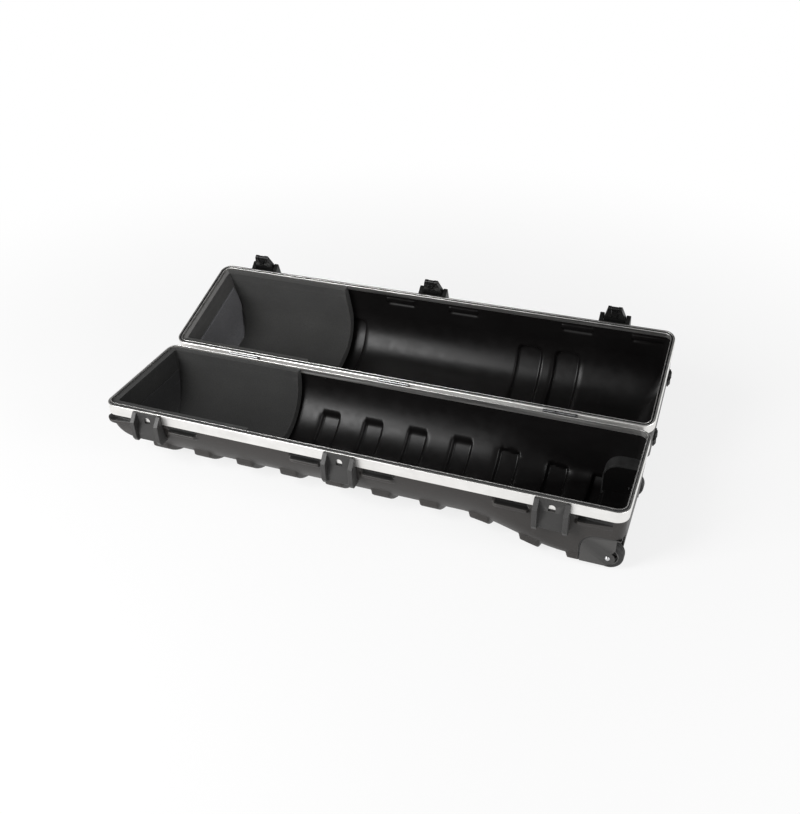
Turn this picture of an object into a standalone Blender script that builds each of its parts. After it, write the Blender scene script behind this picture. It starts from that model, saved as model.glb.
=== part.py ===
"""Hard-shell wheeled travel case, lying open with its lid thrown back.

Metres, +Z up. The pieces are drawn about the middle of the case's length and then shifted
so that the origin is on the floor under the rib nearest to it. +X runs to the wheel end,
-Y is the latch side and +Y the hinge side. Lid pieces are drawn closed and hang on an
empty on the hinge axis, which is turned to the open pose.
"""

import math

import bmesh
import bpy
from mathutils import Matrix, Vector

# Case
CASE_LENGTH = 1.300
CASE_WIDTH = 0.315
RIM_HEIGHT = 0.172
CORNER_RADIUS = 0.029
SHELL_WALL = 0.004
WALL_DRAFT = 0.006
FIT_GAP = 0.0003
FLOOR_GAP = 0.0008
LID_OPEN_ANGLE = math.radians(162.0)

# Hull edges: rounded like a boat, squared at the wheel end
BASE_EDGE_SHARE = 0.795
HEAD_END_SHARE = 0.66
HEAD_END_RADIUS = 0.072
WHEEL_END_RADIUS = 0.030
SQUARE_START_MARGIN = 0.380
SQUARE_END_MARGIN = 0.120
LID_EDGE_RADIUS = 0.110
LID_END_RADIUS = 0.060
CORNER_GROWTH = -0.15
CORNER_LIMIT = 0.8
CORNER_MINIMUM = 0.006
EDGE_STEPS = 5
CORNER_STEPS = 4

# Ribs moulded across the base and the lid
RIB_HEIGHT = 0.011
RIB_HEAD_MARGIN = 0.1275
RIB_WHEEL_MARGIN = 0.2085
BASE_RIB_COUNT = 9
BASE_RIB_WIDTH = 0.040
SHORT_RIB_MARGIN = 0.1072
SHORT_RIB_WIDTH = 0.0245
LID_RIB_WIDTH = 0.058
LID_RIB_HEAD_MARGINS = (0.298, 0.4015)
LID_RIB_WHEEL_MARGINS = (0.378, 0.2745)
RIB_CHAMFER = 0.0075
RIB_START_ANGLE = math.radians(45.0)
ORIGIN_RIB = 4

# Bumper bars below the rims
BAR_HEIGHT = 0.010
BAR_PROUD = 0.006
BAR_DEPTH = 0.041
BAR_INNER = 0.048
BAR_OUTER = 0.135
BAR_END_MARGIN = 0.048

# Aluminium rims
RIM_BAND = 0.028
RIM_METAL = 0.002
RIM_WEB = 0.0035
RIM_LEG = 0.012
RIM_PLAY = 0.0008
TONGUE_HEIGHT = 0.004
TONGUE_WIDTH = 0.0024
GROOVE_PLAY = 0.0007

# Foam lining of the head end
FOAM_LENGTH = 0.396
FOAM_TOP_THICKNESS = 0.016
FOAM_THICKNESS = 0.022
FOAM_BELOW_RIM = 0.001
FOAM_GAP = 0.0008
FOAM_END_SHARE = 0.92
FOAM_STEP = 0.130

# Latches and keepers
LATCH_HEAD_MARGIN = 0.127
LATCH_MIDDLE = -0.005
LATCH_WHEEL_MARGIN = 0.159
LATCH_WIDTH = 0.079
LATCH_RIB = 0.0115
RIB_SEAT = 0.0008
RIM_SETBACK = 0.002
KEEPER_HEIGHT = 0.080
KEEPER_PLATE = 0.0042
KEEPER_PROUD = 0.022
KEEPER_SLOPE = 0.022
RAMP_TOP = 0.034
RAMP_FOOT = 0.058
RAMP_PROUD = 0.013
LATCH_CHAMFER = 0.006
WINDOW_WIDTH = 0.016
WINDOW_HEIGHT = 0.018
WINDOW_DEPTH = 0.0135
HOUSING_HEIGHT = 0.078
HOUSING_PROUD = 0.028
POST_REACH = 0.004
FLAP_PIVOT_OUT = 0.019
FLAP_PIVOT_UP = 0.030
FLAP_REACH = 0.035
FLAP_CLEAR = 0.001
FLAP_INNER = 0.0095
FLAP_OUTER = 0.0275
FLAP_SLOT_TOP = 0.002
FLAP_TIP = 0.0185
ARM_WIDTH = 0.018
TRIGGER_PIVOT_OUT = 0.0135
TRIGGER_CLEAR = 0.0007
TRIGGER_PLATE = 0.005
TRIGGER_LIP = 0.005
TRIGGER_BARREL = 0.005
EAR_RADIUS = 0.006
PIN_RADIUS = 0.002
TOE_HEIGHT = 0.007
TOE_DROP = 0.005
TOE_CLEAR = 0.0015

# Hinges
HINGE_MARGIN = 0.220
HINGE_LENGTH = 0.084
HINGE_OFFSET = 0.0055
HINGE_LEAF = 0.002
HINGE_LEAF_HEIGHT = 0.022
HINGE_BARREL = 0.0045
KNUCKLE_GAP = 0.0005

# Wheels
WHEEL_RADIUS = 0.033
WHEEL_WIDTH = 0.026
WHEEL_MARGIN = 0.0335
WHEEL_FLOOR_GAP = 0.001
WHEEL_PLAY = 0.003
HUB_RADIUS = 0.023
AXLE_RADIUS = 0.003
AXLE_HEAD = 0.0055
BOSS_RADIUS = 0.0165
BOSS_TURN = 60.0
CHEEK_OUTER = 0.005
CHEEK_INNER = 0.004
HOUSING_LENGTH = 0.094
HOUSING_TOP = 0.0895
HOUSING_BOTTOM = 0.012
HOUSING_WALL = 0.006
HOUSING_CORNER = 0.036
PLATE_MARGIN = 0.018
HOUSING_GAP = 0.0008
SPOKE_HOLES = 5

# Stand-up feet on the lid
FOOT_PLACES = (-0.0975, 0.0975)
FOOT_DEPTH = 0.110
FOOT_LENGTH = 0.040
FOOT_HEIGHT = 0.022
FOOT_PROUD = 0.007

# Tow handle on the head end
HANDLE_SPAN = 0.104
HANDLE_DROP = 0.050
HANDLE_ROD = 0.004
HANDLE_GRIP = 0.0085
HANDLE_GRIP_LENGTH = 0.070
BRACKET_PLATE = 0.003
BRACKET_TOP = 0.031
BRACKET_HEIGHT = 0.030
BRACKET_EAR = 0.007
PIVOT_OUT = 0.0105
ROD_PLAY = 0.0004

ROUND_STEPS = 16
WHEEL_STEPS = 20

# Sizes that follow from the ones above
HALF_LENGTH = CASE_LENGTH / 2
HALF_WIDTH = CASE_WIDTH / 2
SHELL_INSET = RIM_METAL + FIT_GAP
BASE_DEPTH = RIM_HEIGHT - RIB_HEIGHT
BASE_EDGE_RADIUS = BASE_EDGE_SHARE * BASE_DEPTH
HEAD_END_RISE = HEAD_END_SHARE * BASE_DEPTH
AXIS_Y = HALF_WIDTH + HINGE_OFFSET
AXIS_Z = RIM_HEIGHT + RIM_PLAY / 2
LID_RIM_Z = RIM_HEIGHT + RIM_PLAY
AXLE_Z = WHEEL_RADIUS + WHEEL_FLOOR_GAP
LID_WEB = TONGUE_HEIGHT + GROOVE_PLAY + RIM_METAL - RIM_PLAY

# Places along the case, held to its two ends
SQUARE_FROM = HALF_LENGTH - SQUARE_START_MARGIN
SQUARE_TO = HALF_LENGTH - SQUARE_END_MARGIN
BASE_RIB_FIRST = RIB_HEAD_MARGIN - HALF_LENGTH
BASE_RIB_PITCH = (CASE_LENGTH - RIB_HEAD_MARGIN - RIB_WHEEL_MARGIN) / (BASE_RIB_COUNT - 1)
SHORT_RIB_PLACE = HALF_LENGTH - SHORT_RIB_MARGIN
LID_RIB_PLACES = [margin - HALF_LENGTH for margin in LID_RIB_HEAD_MARGINS]
LID_RIB_PLACES += [HALF_LENGTH - margin for margin in LID_RIB_WHEEL_MARGINS]
FOAM_END = FOAM_LENGTH - HALF_LENGTH
LATCH_PLACES = {
    "left": LATCH_HEAD_MARGIN - HALF_LENGTH,
    "middle": LATCH_MIDDLE,
    "right": HALF_LENGTH - LATCH_WHEEL_MARGIN,
}
HINGE_PLACES = (HINGE_MARGIN - HALF_LENGTH, 0.0, HALF_LENGTH - HINGE_MARGIN)
WHEEL_X = HALF_LENGTH - WHEEL_MARGIN
HOUSING_LEFT = HALF_LENGTH - HOUSING_LENGTH
PLATE_RIGHT = HALF_LENGTH - PLATE_MARGIN


def lid_depth():
    """Depth at which the ribs of the opened lid come to rest on the floor."""
    sine = math.sin(LID_OPEN_ANGLE)
    cosine = -math.cos(LID_OPEN_ANGLE)
    arc_back = HINGE_OFFSET + SHELL_INSET + WALL_DRAFT + LID_EDGE_RADIUS
    drop = AXIS_Z + arc_back * sine - LID_EDGE_RADIUS - RIB_HEIGHT - FLOOR_GAP
    return LID_EDGE_RADIUS + drop / cosine


LID_DEPTH = lid_depth()


# Scene helpers

def clear_scene():
    for item in list(bpy.data.objects):
        bpy.data.objects.remove(item, do_unlink=True)


def new_collection(name):
    collection = bpy.data.collections.new(name)
    bpy.context.scene.collection.children.link(collection)
    return collection


def principled(name, colour, roughness, metallic=0.0):
    material = bpy.data.materials.new(name)
    material.use_nodes = True
    shader = material.node_tree.nodes["Principled BSDF"]
    shader.inputs["Base Color"].default_value = (*colour, 1.0)
    shader.inputs["Roughness"].default_value = roughness
    shader.inputs["Metallic"].default_value = metallic
    return material


def part(item, material, parent=None):
    """File a finished object under the case, with its material and its carrier."""
    item.data.materials.clear()
    item.data.materials.append(material)
    PARTS.objects.link(item)
    item.data.shade_smooth()
    item.data.set_sharp_from_angle(angle=math.radians(35.0))
    carry(item, parent)
    return item


def carry(item, parent):
    """Hang an object on an empty, or on the case, keeping the place its mesh was drawn at."""
    item.parent = parent or CASE
    item.matrix_parent_inverse = PIVOT_PLACES[item.parent.name].inverted()


def pivot(name, place, parent=None, turn=0.0):
    """Empty on a joint axis along X, Y or Z; turn opens it about X."""
    empty = bpy.data.objects.new(name, None)
    empty.empty_display_size = 0.02
    PARTS.objects.link(empty)
    PIVOT_PLACES[name] = Matrix.Translation(place)
    empty.parent = parent or CASE
    empty.location = Vector(place) - PIVOT_PLACES[empty.parent.name].translation
    empty.rotation_euler = (turn, 0.0, 0.0)
    return empty


def from_bmesh(name, mesh_builder):
    mesh = bpy.data.meshes.new(name)
    mesh_builder.to_mesh(mesh)
    mesh_builder.free()
    return bpy.data.objects.new(name, mesh)


def as_cutter(item):
    CUTTERS.objects.link(item)
    item.hide_render = True
    item.display_type = "WIRE"
    return item


def boolean(target, tool, operation):
    """Cut or join another object, which stays as a wire guide under the same carrier."""
    as_cutter(tool)
    modifier = target.modifiers.new(tool.name, "BOOLEAN")
    modifier.operation = operation
    modifier.object = tool
    carry(tool, target.parent)
    return target


def cut(target, tool):
    return boolean(target, tool, "DIFFERENCE")


def join(target, tool):
    return boolean(target, tool, "UNION")


def soften(item, width, segments=1):
    bevel = item.modifiers.new("edges", "BEVEL")
    bevel.width = width
    bevel.segments = segments
    bevel.limit_method = "ANGLE"
    bevel.angle_limit = math.radians(40.0)
    return item


# Shape helpers

def box(name, low, high):
    builder = bmesh.new()
    bmesh.ops.create_cube(builder, size=1.0)
    size = [top - bottom for bottom, top in zip(low, high)]
    centre = [(top + bottom) / 2 for bottom, top in zip(low, high)]
    bmesh.ops.scale(builder, vec=size, verts=builder.verts)
    bmesh.ops.translate(builder, vec=centre, verts=builder.verts)
    return from_bmesh(name, builder)


def rod(name, start, end, radius, steps=ROUND_STEPS):
    """Round bar between two points."""
    along = Vector(end) - Vector(start)
    builder = bmesh.new()
    bmesh.ops.create_cone(
        builder, cap_ends=True, segments=steps, radius1=radius, radius2=radius, depth=along.length
    )
    turn = along.to_track_quat("Z", "Y").to_matrix().to_4x4()
    place = Matrix.Translation((Vector(start) + Vector(end)) / 2) @ turn
    bmesh.ops.transform(builder, matrix=place, verts=builder.verts)
    return from_bmesh(name, builder)


def solid_curve(name, curve):
    """Mesh object with the shape of a curve, its caps welded on."""
    guide = bpy.data.objects.new(name + "_guide", curve)
    bpy.context.scene.collection.objects.link(guide)
    graph = bpy.context.evaluated_depsgraph_get()
    mesh = bpy.data.meshes.new_from_object(guide.evaluated_get(graph))
    bpy.data.objects.remove(guide)
    builder = bmesh.new()
    builder.from_mesh(mesh)
    bmesh.ops.remove_doubles(builder, verts=builder.verts, dist=0.00001)
    bmesh.ops.recalc_face_normals(builder, faces=builder.faces)
    bpy.data.meshes.remove(mesh)
    return from_bmesh(name, builder)


def slab(name, outline, low, high, axis):
    """Flat outline with thickness from low to high along X or Y.

    Along X the outline is in (y, z), along Y in (x, z).
    """
    curve = bpy.data.curves.new(name, "CURVE")
    curve.dimensions = "2D"
    curve.fill_mode = "BOTH"
    curve.extrude = (high - low) / 2
    spline = curve.splines.new("POLY")
    spline.points.add(len(outline) - 1)
    for point, (across, up) in zip(spline.points, outline):
        point.co = (across, up, 0.0, 1.0)
    spline.use_cyclic_u = True
    item = solid_curve(name, curve)
    middle = (high + low) / 2
    if axis == "X":
        turn = Matrix(((0, 0, 1), (1, 0, 0), (0, 1, 0))).to_4x4()
    else:
        turn = Matrix(((1, 0, 0), (0, 0, -1), (0, 1, 0))).to_4x4()
    shift = Matrix.Translation((middle, 0, 0) if axis == "X" else (0, middle, 0))
    item.data.transform(shift @ turn)
    return item


def turned(name, profile, centre, steps=WHEEL_STEPS):
    """Turned shape about a line along Y: profile points are (radius, offset along Y)."""
    builder = bmesh.new()
    points = [builder.verts.new((radius, 0.0, offset)) for radius, offset in profile]
    for first, second in zip(points, points[1:] + points[:1]):
        builder.edges.new((first, second))
    item = from_bmesh(name, builder)
    screw = item.modifiers.new("turn", "SCREW")
    screw.axis = "Z"
    screw.steps = steps
    screw.render_steps = steps
    screw.use_merge_vertices = True
    screw.merge_threshold = 0.00001
    bpy.context.scene.collection.objects.link(item)
    graph = bpy.context.evaluated_depsgraph_get()
    mesh = bpy.data.meshes.new_from_object(item.evaluated_get(graph))
    bpy.data.objects.remove(item)
    builder = bmesh.new()
    builder.from_mesh(mesh)
    bmesh.ops.recalc_face_normals(builder, faces=builder.faces)
    place = Matrix.Translation(centre) @ Matrix.Rotation(math.radians(-90.0), 4, "X")
    bmesh.ops.transform(builder, matrix=place, verts=builder.verts)
    bpy.data.meshes.remove(mesh)
    return from_bmesh(name, builder)


def arc(centre, radius, start, end, steps):
    """Points on an arc between two angles in degrees."""
    angles = [math.radians(start + (end - start) * i / steps) for i in range(steps + 1)]
    return [(centre[0] + radius * math.cos(a), centre[1] + radius * math.sin(a)) for a in angles]


# Hull shape, shared by the shells and their foam

def corner_angles():
    """Angles in degrees of the columns that round a corner, from the end to the side."""
    return [90.0 * i / CORNER_STEPS for i in range(CORNER_STEPS + 1)]


def ease(value, start, end):
    share = min(max((value - start) / (end - start), 0.0), 1.0)
    return share * share * (3.0 - 2.0 * share)


def wall_draft(depth, full_depth):
    """How far the wall has leaned in at a depth; it stands straight inside the metal rim."""
    return WALL_DRAFT * min(max(depth - RIM_BAND, 0.0) / (full_depth - RIM_BAND), 1.0)


class Hull:
    """Rounded tray: plan outline of the rims, a drafted wall and a rounded lower edge."""

    def __init__(self, depth, side_radius, head_rise, head_radius, wheel_radius, ribs, squared):
        self.depth = depth
        self.side_radius = side_radius
        self.head_rise = head_rise
        self.head_radius = head_radius
        self.wheel_radius = wheel_radius
        self.ribs = ribs
        self.squared = squared

    def radius_at(self, x):
        squared = ease(x, SQUARE_FROM, SQUARE_TO) if self.squared else 0.0
        return self.side_radius + (self.wheel_radius - self.side_radius) * squared

    def rib_at(self, x):
        """Rib height at a station: full on a rib's flat, none beside it."""
        on_rib = any(abs(x - rib) < (width + RIB_CHAMFER) / 2 for rib, width in self.ribs)
        return RIB_HEIGHT if on_rib else 0.0

    def stations(self):
        """Places along the side where the surface changes: both edges of each rib."""
        places = []
        for rib, width in self.ribs:
            half = width / 2
            places += [rib - half - RIB_CHAMFER, rib - half, rib + half, rib + half + RIB_CHAMFER]
        return places

    def columns(self):
        """Columns of the front half, from the head end's middle to the wheel end's middle."""
        quarter = corner_angles()
        head = [("head", angle) for angle in quarter]
        side = [("side", x) for x in self.stations()]
        wheel = [("wheel", angle) for angle in reversed(quarter)]
        return [("head_middle", 0.0)] + head + side + wheel + [("wheel_middle", 0.0)]

    def angles(self):
        return [math.radians(90.0 * i / EDGE_STEPS) for i in range(EDGE_STEPS + 1)]

    def point(self, column, angle, inset, top=None, ribbed=False):
        """Point (x, y, depth) of a column at an edge angle, or on the wall at depth top."""
        kind, value = column
        at_head = kind.startswith("head")
        end_radius = self.head_radius if at_head else self.wheel_radius
        end_rise = self.head_rise if at_head else self.wheel_radius
        beside = value if kind == "side" else math.copysign(HALF_LENGTH, -1.0 if at_head else 1.0)
        side_radius = self.radius_at(beside)
        share = value / 90.0 if kind in ("head", "wheel") else 0.0
        own = side_radius if kind == "side" else end_rise + (side_radius - end_rise) * share
        lift = self.rib_at(value) if ribbed and kind == "side" and angle > RIB_START_ANGLE else 0.0
        depth = self.depth - own + (own - inset + lift) * math.sin(angle) if top is None else top
        draft = SHELL_INSET + wall_draft(depth, self.depth)

        def drawn_in(radius):
            if top is not None:
                return draft + inset
            return draft + radius - (radius - inset + lift) * math.cos(angle)

        half_width = HALF_WIDTH - drawn_in(side_radius)
        if kind == "side":
            return value, -half_width, depth
        half_length = HALF_LENGTH - drawn_in(end_radius)
        if kind.endswith("middle"):
            return math.copysign(half_length, beside), 0.0, depth
        growth = CORNER_GROWTH * (drawn_in(end_radius) - draft - inset)
        corner = max(CORNER_RADIUS - SHELL_INSET - inset + growth, CORNER_MINIMUM)
        corner = min(corner, CORNER_LIMIT * half_width)
        turn = math.radians(value)
        along = half_length - corner + corner * math.cos(turn)
        return math.copysign(along, beside), -(half_width - corner + corner * math.sin(turn)), depth


def add_rows(builder, rows, place):
    """Rows of points as vertices; place maps (x, y, depth) into the case."""
    return [[builder.verts.new(place(*point)) for point in row] for row in rows]


def skin(builder, rows, flip):
    """Quads, or triangles where two points coincide, between neighbouring rows."""
    for upper, lower in zip(rows, rows[1:]):
        for i in range(len(upper) - 1):
            loop = [upper[i], lower[i], lower[i + 1], upper[i + 1]]
            corners = []
            for vertex in loop:
                if all((vertex.co - other.co).length > 0.000001 for other in corners):
                    corners.append(vertex)
            if len(corners) > 2:
                builder.faces.new(reversed(corners) if flip else corners)


def base_place(x, y, depth):
    return x, y, RIM_HEIGHT - depth


def lid_place(x, y, depth):
    return x, y, LID_RIM_Z + depth


def mirror_halves(item):
    mirror = item.modifiers.new("rear half", "MIRROR")
    mirror.use_axis = (False, True, False)
    mirror.use_clip = True
    mirror.merge_threshold = 0.00005
    return item


def shell(name, hull, place, flip, top):
    """Thin tray: outer and inner skins of the front half, joined at the top and mirrored."""
    columns = hull.columns()
    builder = bmesh.new()
    skins = []
    for inset in (0.0, SHELL_WALL):
        rows = [[hull.point(c, 0.0, inset, top=depth) for c in columns] for depth in (top, RIM_BAND)]
        rows += [[hull.point(c, a, inset, ribbed=True) for c in columns] for a in hull.angles()]
        rows.append([(x, 0.0, depth) for x, _, depth in rows[-1]])
        skins.append(add_rows(builder, rows, place))
    outer, inner = skins
    skin(builder, outer, flip)
    skin(builder, inner, not flip)
    skin(builder, [inner[0], outer[0]], flip)
    bmesh.ops.remove_doubles(builder, verts=builder.verts, dist=0.00001)
    return mirror_halves(from_bmesh(name, builder))


def foam_sheet(name, hull, place, flip, columns, wall_depths, is_end):
    """Foam between two inset hull surfaces, open only at the mirror plane.

    The end sheet's first column lies on that plane, and it covers most of the flat end. The
    other sheet's floor reaches the plane.
    """
    behind_rim = SHELL_WALL + RIM_METAL + 2 * FIT_GAP + FOAM_GAP

    layers = []
    for thickness, top_thickness in ((0.0, 0.0), (FOAM_THICKNESS, FOAM_TOP_THICKNESS)):
        inset = SHELL_WALL + FOAM_GAP + thickness
        rows = []
        for depth in wall_depths:
            rows.append([hull.point(c, 0.0, behind_rim + top_thickness, depth) for c in columns])
        rows += [[hull.point(c, a, inset) for c in columns] for a in hull.angles()]
        if is_end:
            rows = [[(x, FOAM_END_SHARE * y, depth) for x, y, depth in row] for row in rows]
        else:
            rows.append([(x, 0.0, depth) for x, _, depth in rows[-1]])
        layers.append(rows)
    builder = bmesh.new()
    outer, inner = [add_rows(builder, rows, place) for rows in layers]
    skin(builder, outer, flip)
    skin(builder, inner, not flip)
    skin(builder, [inner[0], outer[0]], flip)
    skin(builder, [[row[-1] for row in inner], [row[-1] for row in outer]], flip)
    if is_end:
        skin(builder, [inner[-1], outer[-1]], not flip)
    else:
        skin(builder, [[row[0] for row in inner], [row[0] for row in outer]], not flip)
    bmesh.ops.remove_doubles(builder, verts=builder.verts, dist=0.00001)
    return mirror_halves(from_bmesh(name, builder))


def line_with_foam(prefix, hull, place, flip, wall_depths, parent=None):
    """End sheet and wrapped sheet of one half of the case, which stop where its corners begin.

    wall_depths are the depths of the sheets' top and of the end of the rim's inner leg.
    """
    end_columns = [("head_middle", 0.0), ("head", 0.0)]
    wrap_columns = [("head", 90.0), ("side", FOAM_END - FOAM_STEP), ("side", FOAM_END)]
    for name, columns in (("end", end_columns), ("wrap", wrap_columns)):
        sheet = foam_sheet(f"{prefix}_foam_{name}", hull, place, flip, columns, wall_depths, name == "end")
        part(sheet, FOAM, parent)


def rim(name, profile, parent=None):
    """Metal rim: a closed profile of (inset, height) carried round the plan outline."""
    quarter = [math.radians(angle) for angle in corner_angles()]
    rows = []
    for inset, height in profile + profile[:1]:
        radius = CORNER_RADIUS - inset
        across = HALF_LENGTH - CORNER_RADIUS
        front = -(HALF_WIDTH - CORNER_RADIUS)
        head = [(-across - radius * math.cos(a), front - radius * math.sin(a)) for a in quarter]
        wheel = [(-x, y) for x, y in reversed(head)]
        plan = [(-across - radius, 0.0)] + head + wheel + [(across + radius, 0.0)]
        rows.append([(x, y, height) for x, y in plan])
    builder = bmesh.new()
    skin(builder, add_rows(builder, rows, lambda x, y, z: (x, y, z)), False)
    bmesh.ops.remove_doubles(builder, verts=builder.verts, dist=0.00001)
    return part(mirror_halves(from_bmesh(name, builder)), METAL, parent)


# Base

def bars(target, place):
    """Bumper bars on both sides of each latch, joined to a shell's front wall."""
    wall = HALF_WIDTH - SHELL_INSET - wall_draft(BAR_DEPTH, BASE_DEPTH)
    limit = HALF_LENGTH - BAR_END_MARGIN
    for side, middle in LATCH_PLACES.items():
        for hand, sign in (("a", -1.0), ("b", 1.0)):
            ends = sorted((middle + sign * BAR_INNER, middle + sign * BAR_OUTER))
            low = max(ends[0], -limit)
            high = min(ends[1], limit)
            slant = BAR_HEIGHT / 2
            heights = [place(0.0, 0.0, BAR_DEPTH + step * BAR_HEIGHT / 2)[2] for step in (-1, 1)]
            outline = [
                (low + slant, heights[0]), (high - slant, heights[0]),
                (high, heights[1]), (low, heights[1]),
            ]
            bar = slab(f"{target.name}_bar_{side}_{hand}", outline, -wall - BAR_PROUD,
                       -wall + SHELL_WALL / 2, "Y")
            join(target, bar)


def base_rim_profile():
    inner = RIM_METAL + SHELL_WALL + 2 * FIT_GAP
    top = RIM_HEIGHT
    step = inner - GROOVE_PLAY
    return [
        (0.0, top), (0.0, top - RIM_BAND), (RIM_METAL, top - RIM_BAND), (RIM_METAL, top - RIM_WEB),
        (inner, top - RIM_WEB), (inner, top - RIM_LEG), (inner + RIM_METAL, top - RIM_LEG),
        (inner + RIM_METAL, top + TONGUE_HEIGHT),
        (inner + RIM_METAL - TONGUE_WIDTH, top + TONGUE_HEIGHT),
        (inner + RIM_METAL - TONGUE_WIDTH, top - RIM_METAL / 2),
        (step - RIM_METAL / 2, top - RIM_METAL / 2), (step - RIM_METAL / 2, top),
    ]


def lid_rim_profile():
    inner = RIM_METAL + SHELL_WALL + 2 * FIT_GAP
    low = LID_RIM_Z
    tongue = inner + RIM_METAL
    groove_top = RIM_HEIGHT + TONGUE_HEIGHT + GROOVE_PLAY
    web = low + LID_WEB
    lip = tongue + GROOVE_PLAY
    return [
        (0.0, low + RIM_BAND), (0.0, low), (tongue - TONGUE_WIDTH - GROOVE_PLAY, low),
        (tongue - TONGUE_WIDTH - GROOVE_PLAY, groove_top), (lip, groove_top), (lip, low),
        (lip + RIM_METAL, low), (lip + RIM_METAL, web), (tongue, web), (tongue, web + RIM_LEG),
        (inner, web + RIM_LEG), (inner, web), (RIM_METAL, web), (RIM_METAL, low + RIM_BAND),
    ]


# Latches: places are given as (out, up) from the front face of the rim at the base rim's top

def side_view(points):
    return [(-HALF_WIDTH - out, RIM_HEIGHT + up) for out, up in points]


def cross_rod(name, place, low, high, radius, steps=ROUND_STEPS):
    """Round bar along X at an (out, up) place."""
    ((y, z),) = side_view([place])
    return rod(name, (low, y, z), (high, y, z), radius, steps)


def ribbed_plate(name, x, plate, ribs, material, parent=None):
    """Plate with an upright rib on each side, from two side-view outlines."""
    half = LATCH_WIDTH / 2
    inner = half - LATCH_RIB
    item = slab(name, side_view(plate), x - half + LATCH_RIB / 2, x + half - LATCH_RIB / 2, "X")
    part(item, material, parent)
    for hand, low in (("a", x - half), ("b", x + inner)):
        upright = slab(f"{name}_rib_{hand}", side_view(ribs), low, low + LATCH_RIB, "X")
        join(item, soften(upright, 0.0015))
    return item


def wall_place(hull, x, depth, gap):
    """Place (out, up) just outside a tray's side wall at a station and depth."""
    radius = hull.radius_at(x)
    turn = math.asin(min(max(depth - hull.depth + radius, 0.0) / radius, 1.0))
    inset = SHELL_INSET + wall_draft(depth, hull.depth) + radius * (1.0 - math.cos(turn))
    return gap - inset, -depth


def keeper(side, x, hull):
    """Strike plate on the base, with a window for the trigger's toe and a ramp below it."""
    top = -RIM_SETBACK
    foot = -KEEPER_HEIGHT
    under_rim = RIM_BAND + FIT_GAP
    depths = [KEEPER_HEIGHT + (under_rim - KEEPER_HEIGHT) * i / 4 for i in range(5)]
    plate_back = [wall_place(hull, x, depth, 2 * FIT_GAP) for depth in depths]
    rib_back = [(out + RIB_SEAT, max(up, foot + RIB_SEAT)) for out, up in plate_back]
    plate = [
        (FIT_GAP, top), (KEEPER_PLATE, top), (KEEPER_PLATE, -RAMP_TOP), (RAMP_PROUD, -RAMP_FOOT),
        (RAMP_PROUD, foot + LATCH_CHAMFER), (RAMP_PROUD / 2, foot), *plate_back, (FIT_GAP, -under_rim),
    ]
    ribs = [
        (RIB_SEAT, top - RIB_SEAT), (KEEPER_PLATE, top - RIB_SEAT), (KEEPER_PROUD, top - KEEPER_SLOPE),
        (KEEPER_PROUD, foot + 2 * LATCH_CHAMFER), (KEEPER_PROUD - LATCH_CHAMFER, foot + RIB_SEAT),
        *rib_back, (RIB_SEAT, -under_rim),
    ]
    item = ribbed_plate("keeper_" + side, x, plate, ribs, SHELL)
    low = RIM_HEIGHT - WINDOW_DEPTH - WINDOW_HEIGHT
    round_at = low + WINDOW_HEIGHT - WINDOW_WIDTH / 2
    outline = [(x - WINDOW_WIDTH / 2, low), (x + WINDOW_WIDTH / 2, low)]
    outline += arc((x, round_at), WINDOW_WIDTH / 2, 0.0, 180.0, 8)
    cut(item, slab(f"keeper_{side}_window", outline, -HALF_WIDTH - RAMP_PROUD, -HALF_WIDTH, "Y"))


def latch_housing(side, x, lid):
    """Latch bracket on the lid, whose two ribs run past the rim as posts."""
    low = RIM_PLAY + RIM_SETBACK
    high = HOUSING_HEIGHT
    plate = [
        (FIT_GAP, low), (KEEPER_PLATE, low), (KEEPER_PLATE, high / 2), (RAMP_PROUD, high * 0.7),
        (RAMP_PROUD, high - LATCH_CHAMFER), (RAMP_PROUD / 2, high), (FIT_GAP, high),
    ]
    ribs = [
        (RIB_SEAT, low + RIB_SEAT), (KEEPER_PLATE, low + RIB_SEAT),
        (HOUSING_PROUD - LATCH_CHAMFER, -POST_REACH), (HOUSING_PROUD - LATCH_CHAMFER / 3, -POST_REACH),
        (HOUSING_PROUD, -POST_REACH / 2),
        (HOUSING_PROUD, high * 0.65), (HOUSING_PROUD / 2, high - RIB_SEAT), (RIB_SEAT, high - RIB_SEAT),
    ]
    item = ribbed_plate("latch_housing_" + side, x, plate, ribs, LATCH, lid)
    place = (FLAP_PIVOT_OUT, FLAP_PIVOT_UP)
    half = LATCH_WIDTH / 2
    hole = cross_rod(f"latch_housing_{side}_hole", place, x - LATCH_WIDTH, x + LATCH_WIDTH,
                     PIN_RADIUS + FIT_GAP)
    cut(item, hole)
    pin = cross_rod("latch_pin_" + side, place, x - half + FLAP_CLEAR, x + half - FLAP_CLEAR, PIN_RADIUS)
    part(pin, STEEL, lid)


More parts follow.
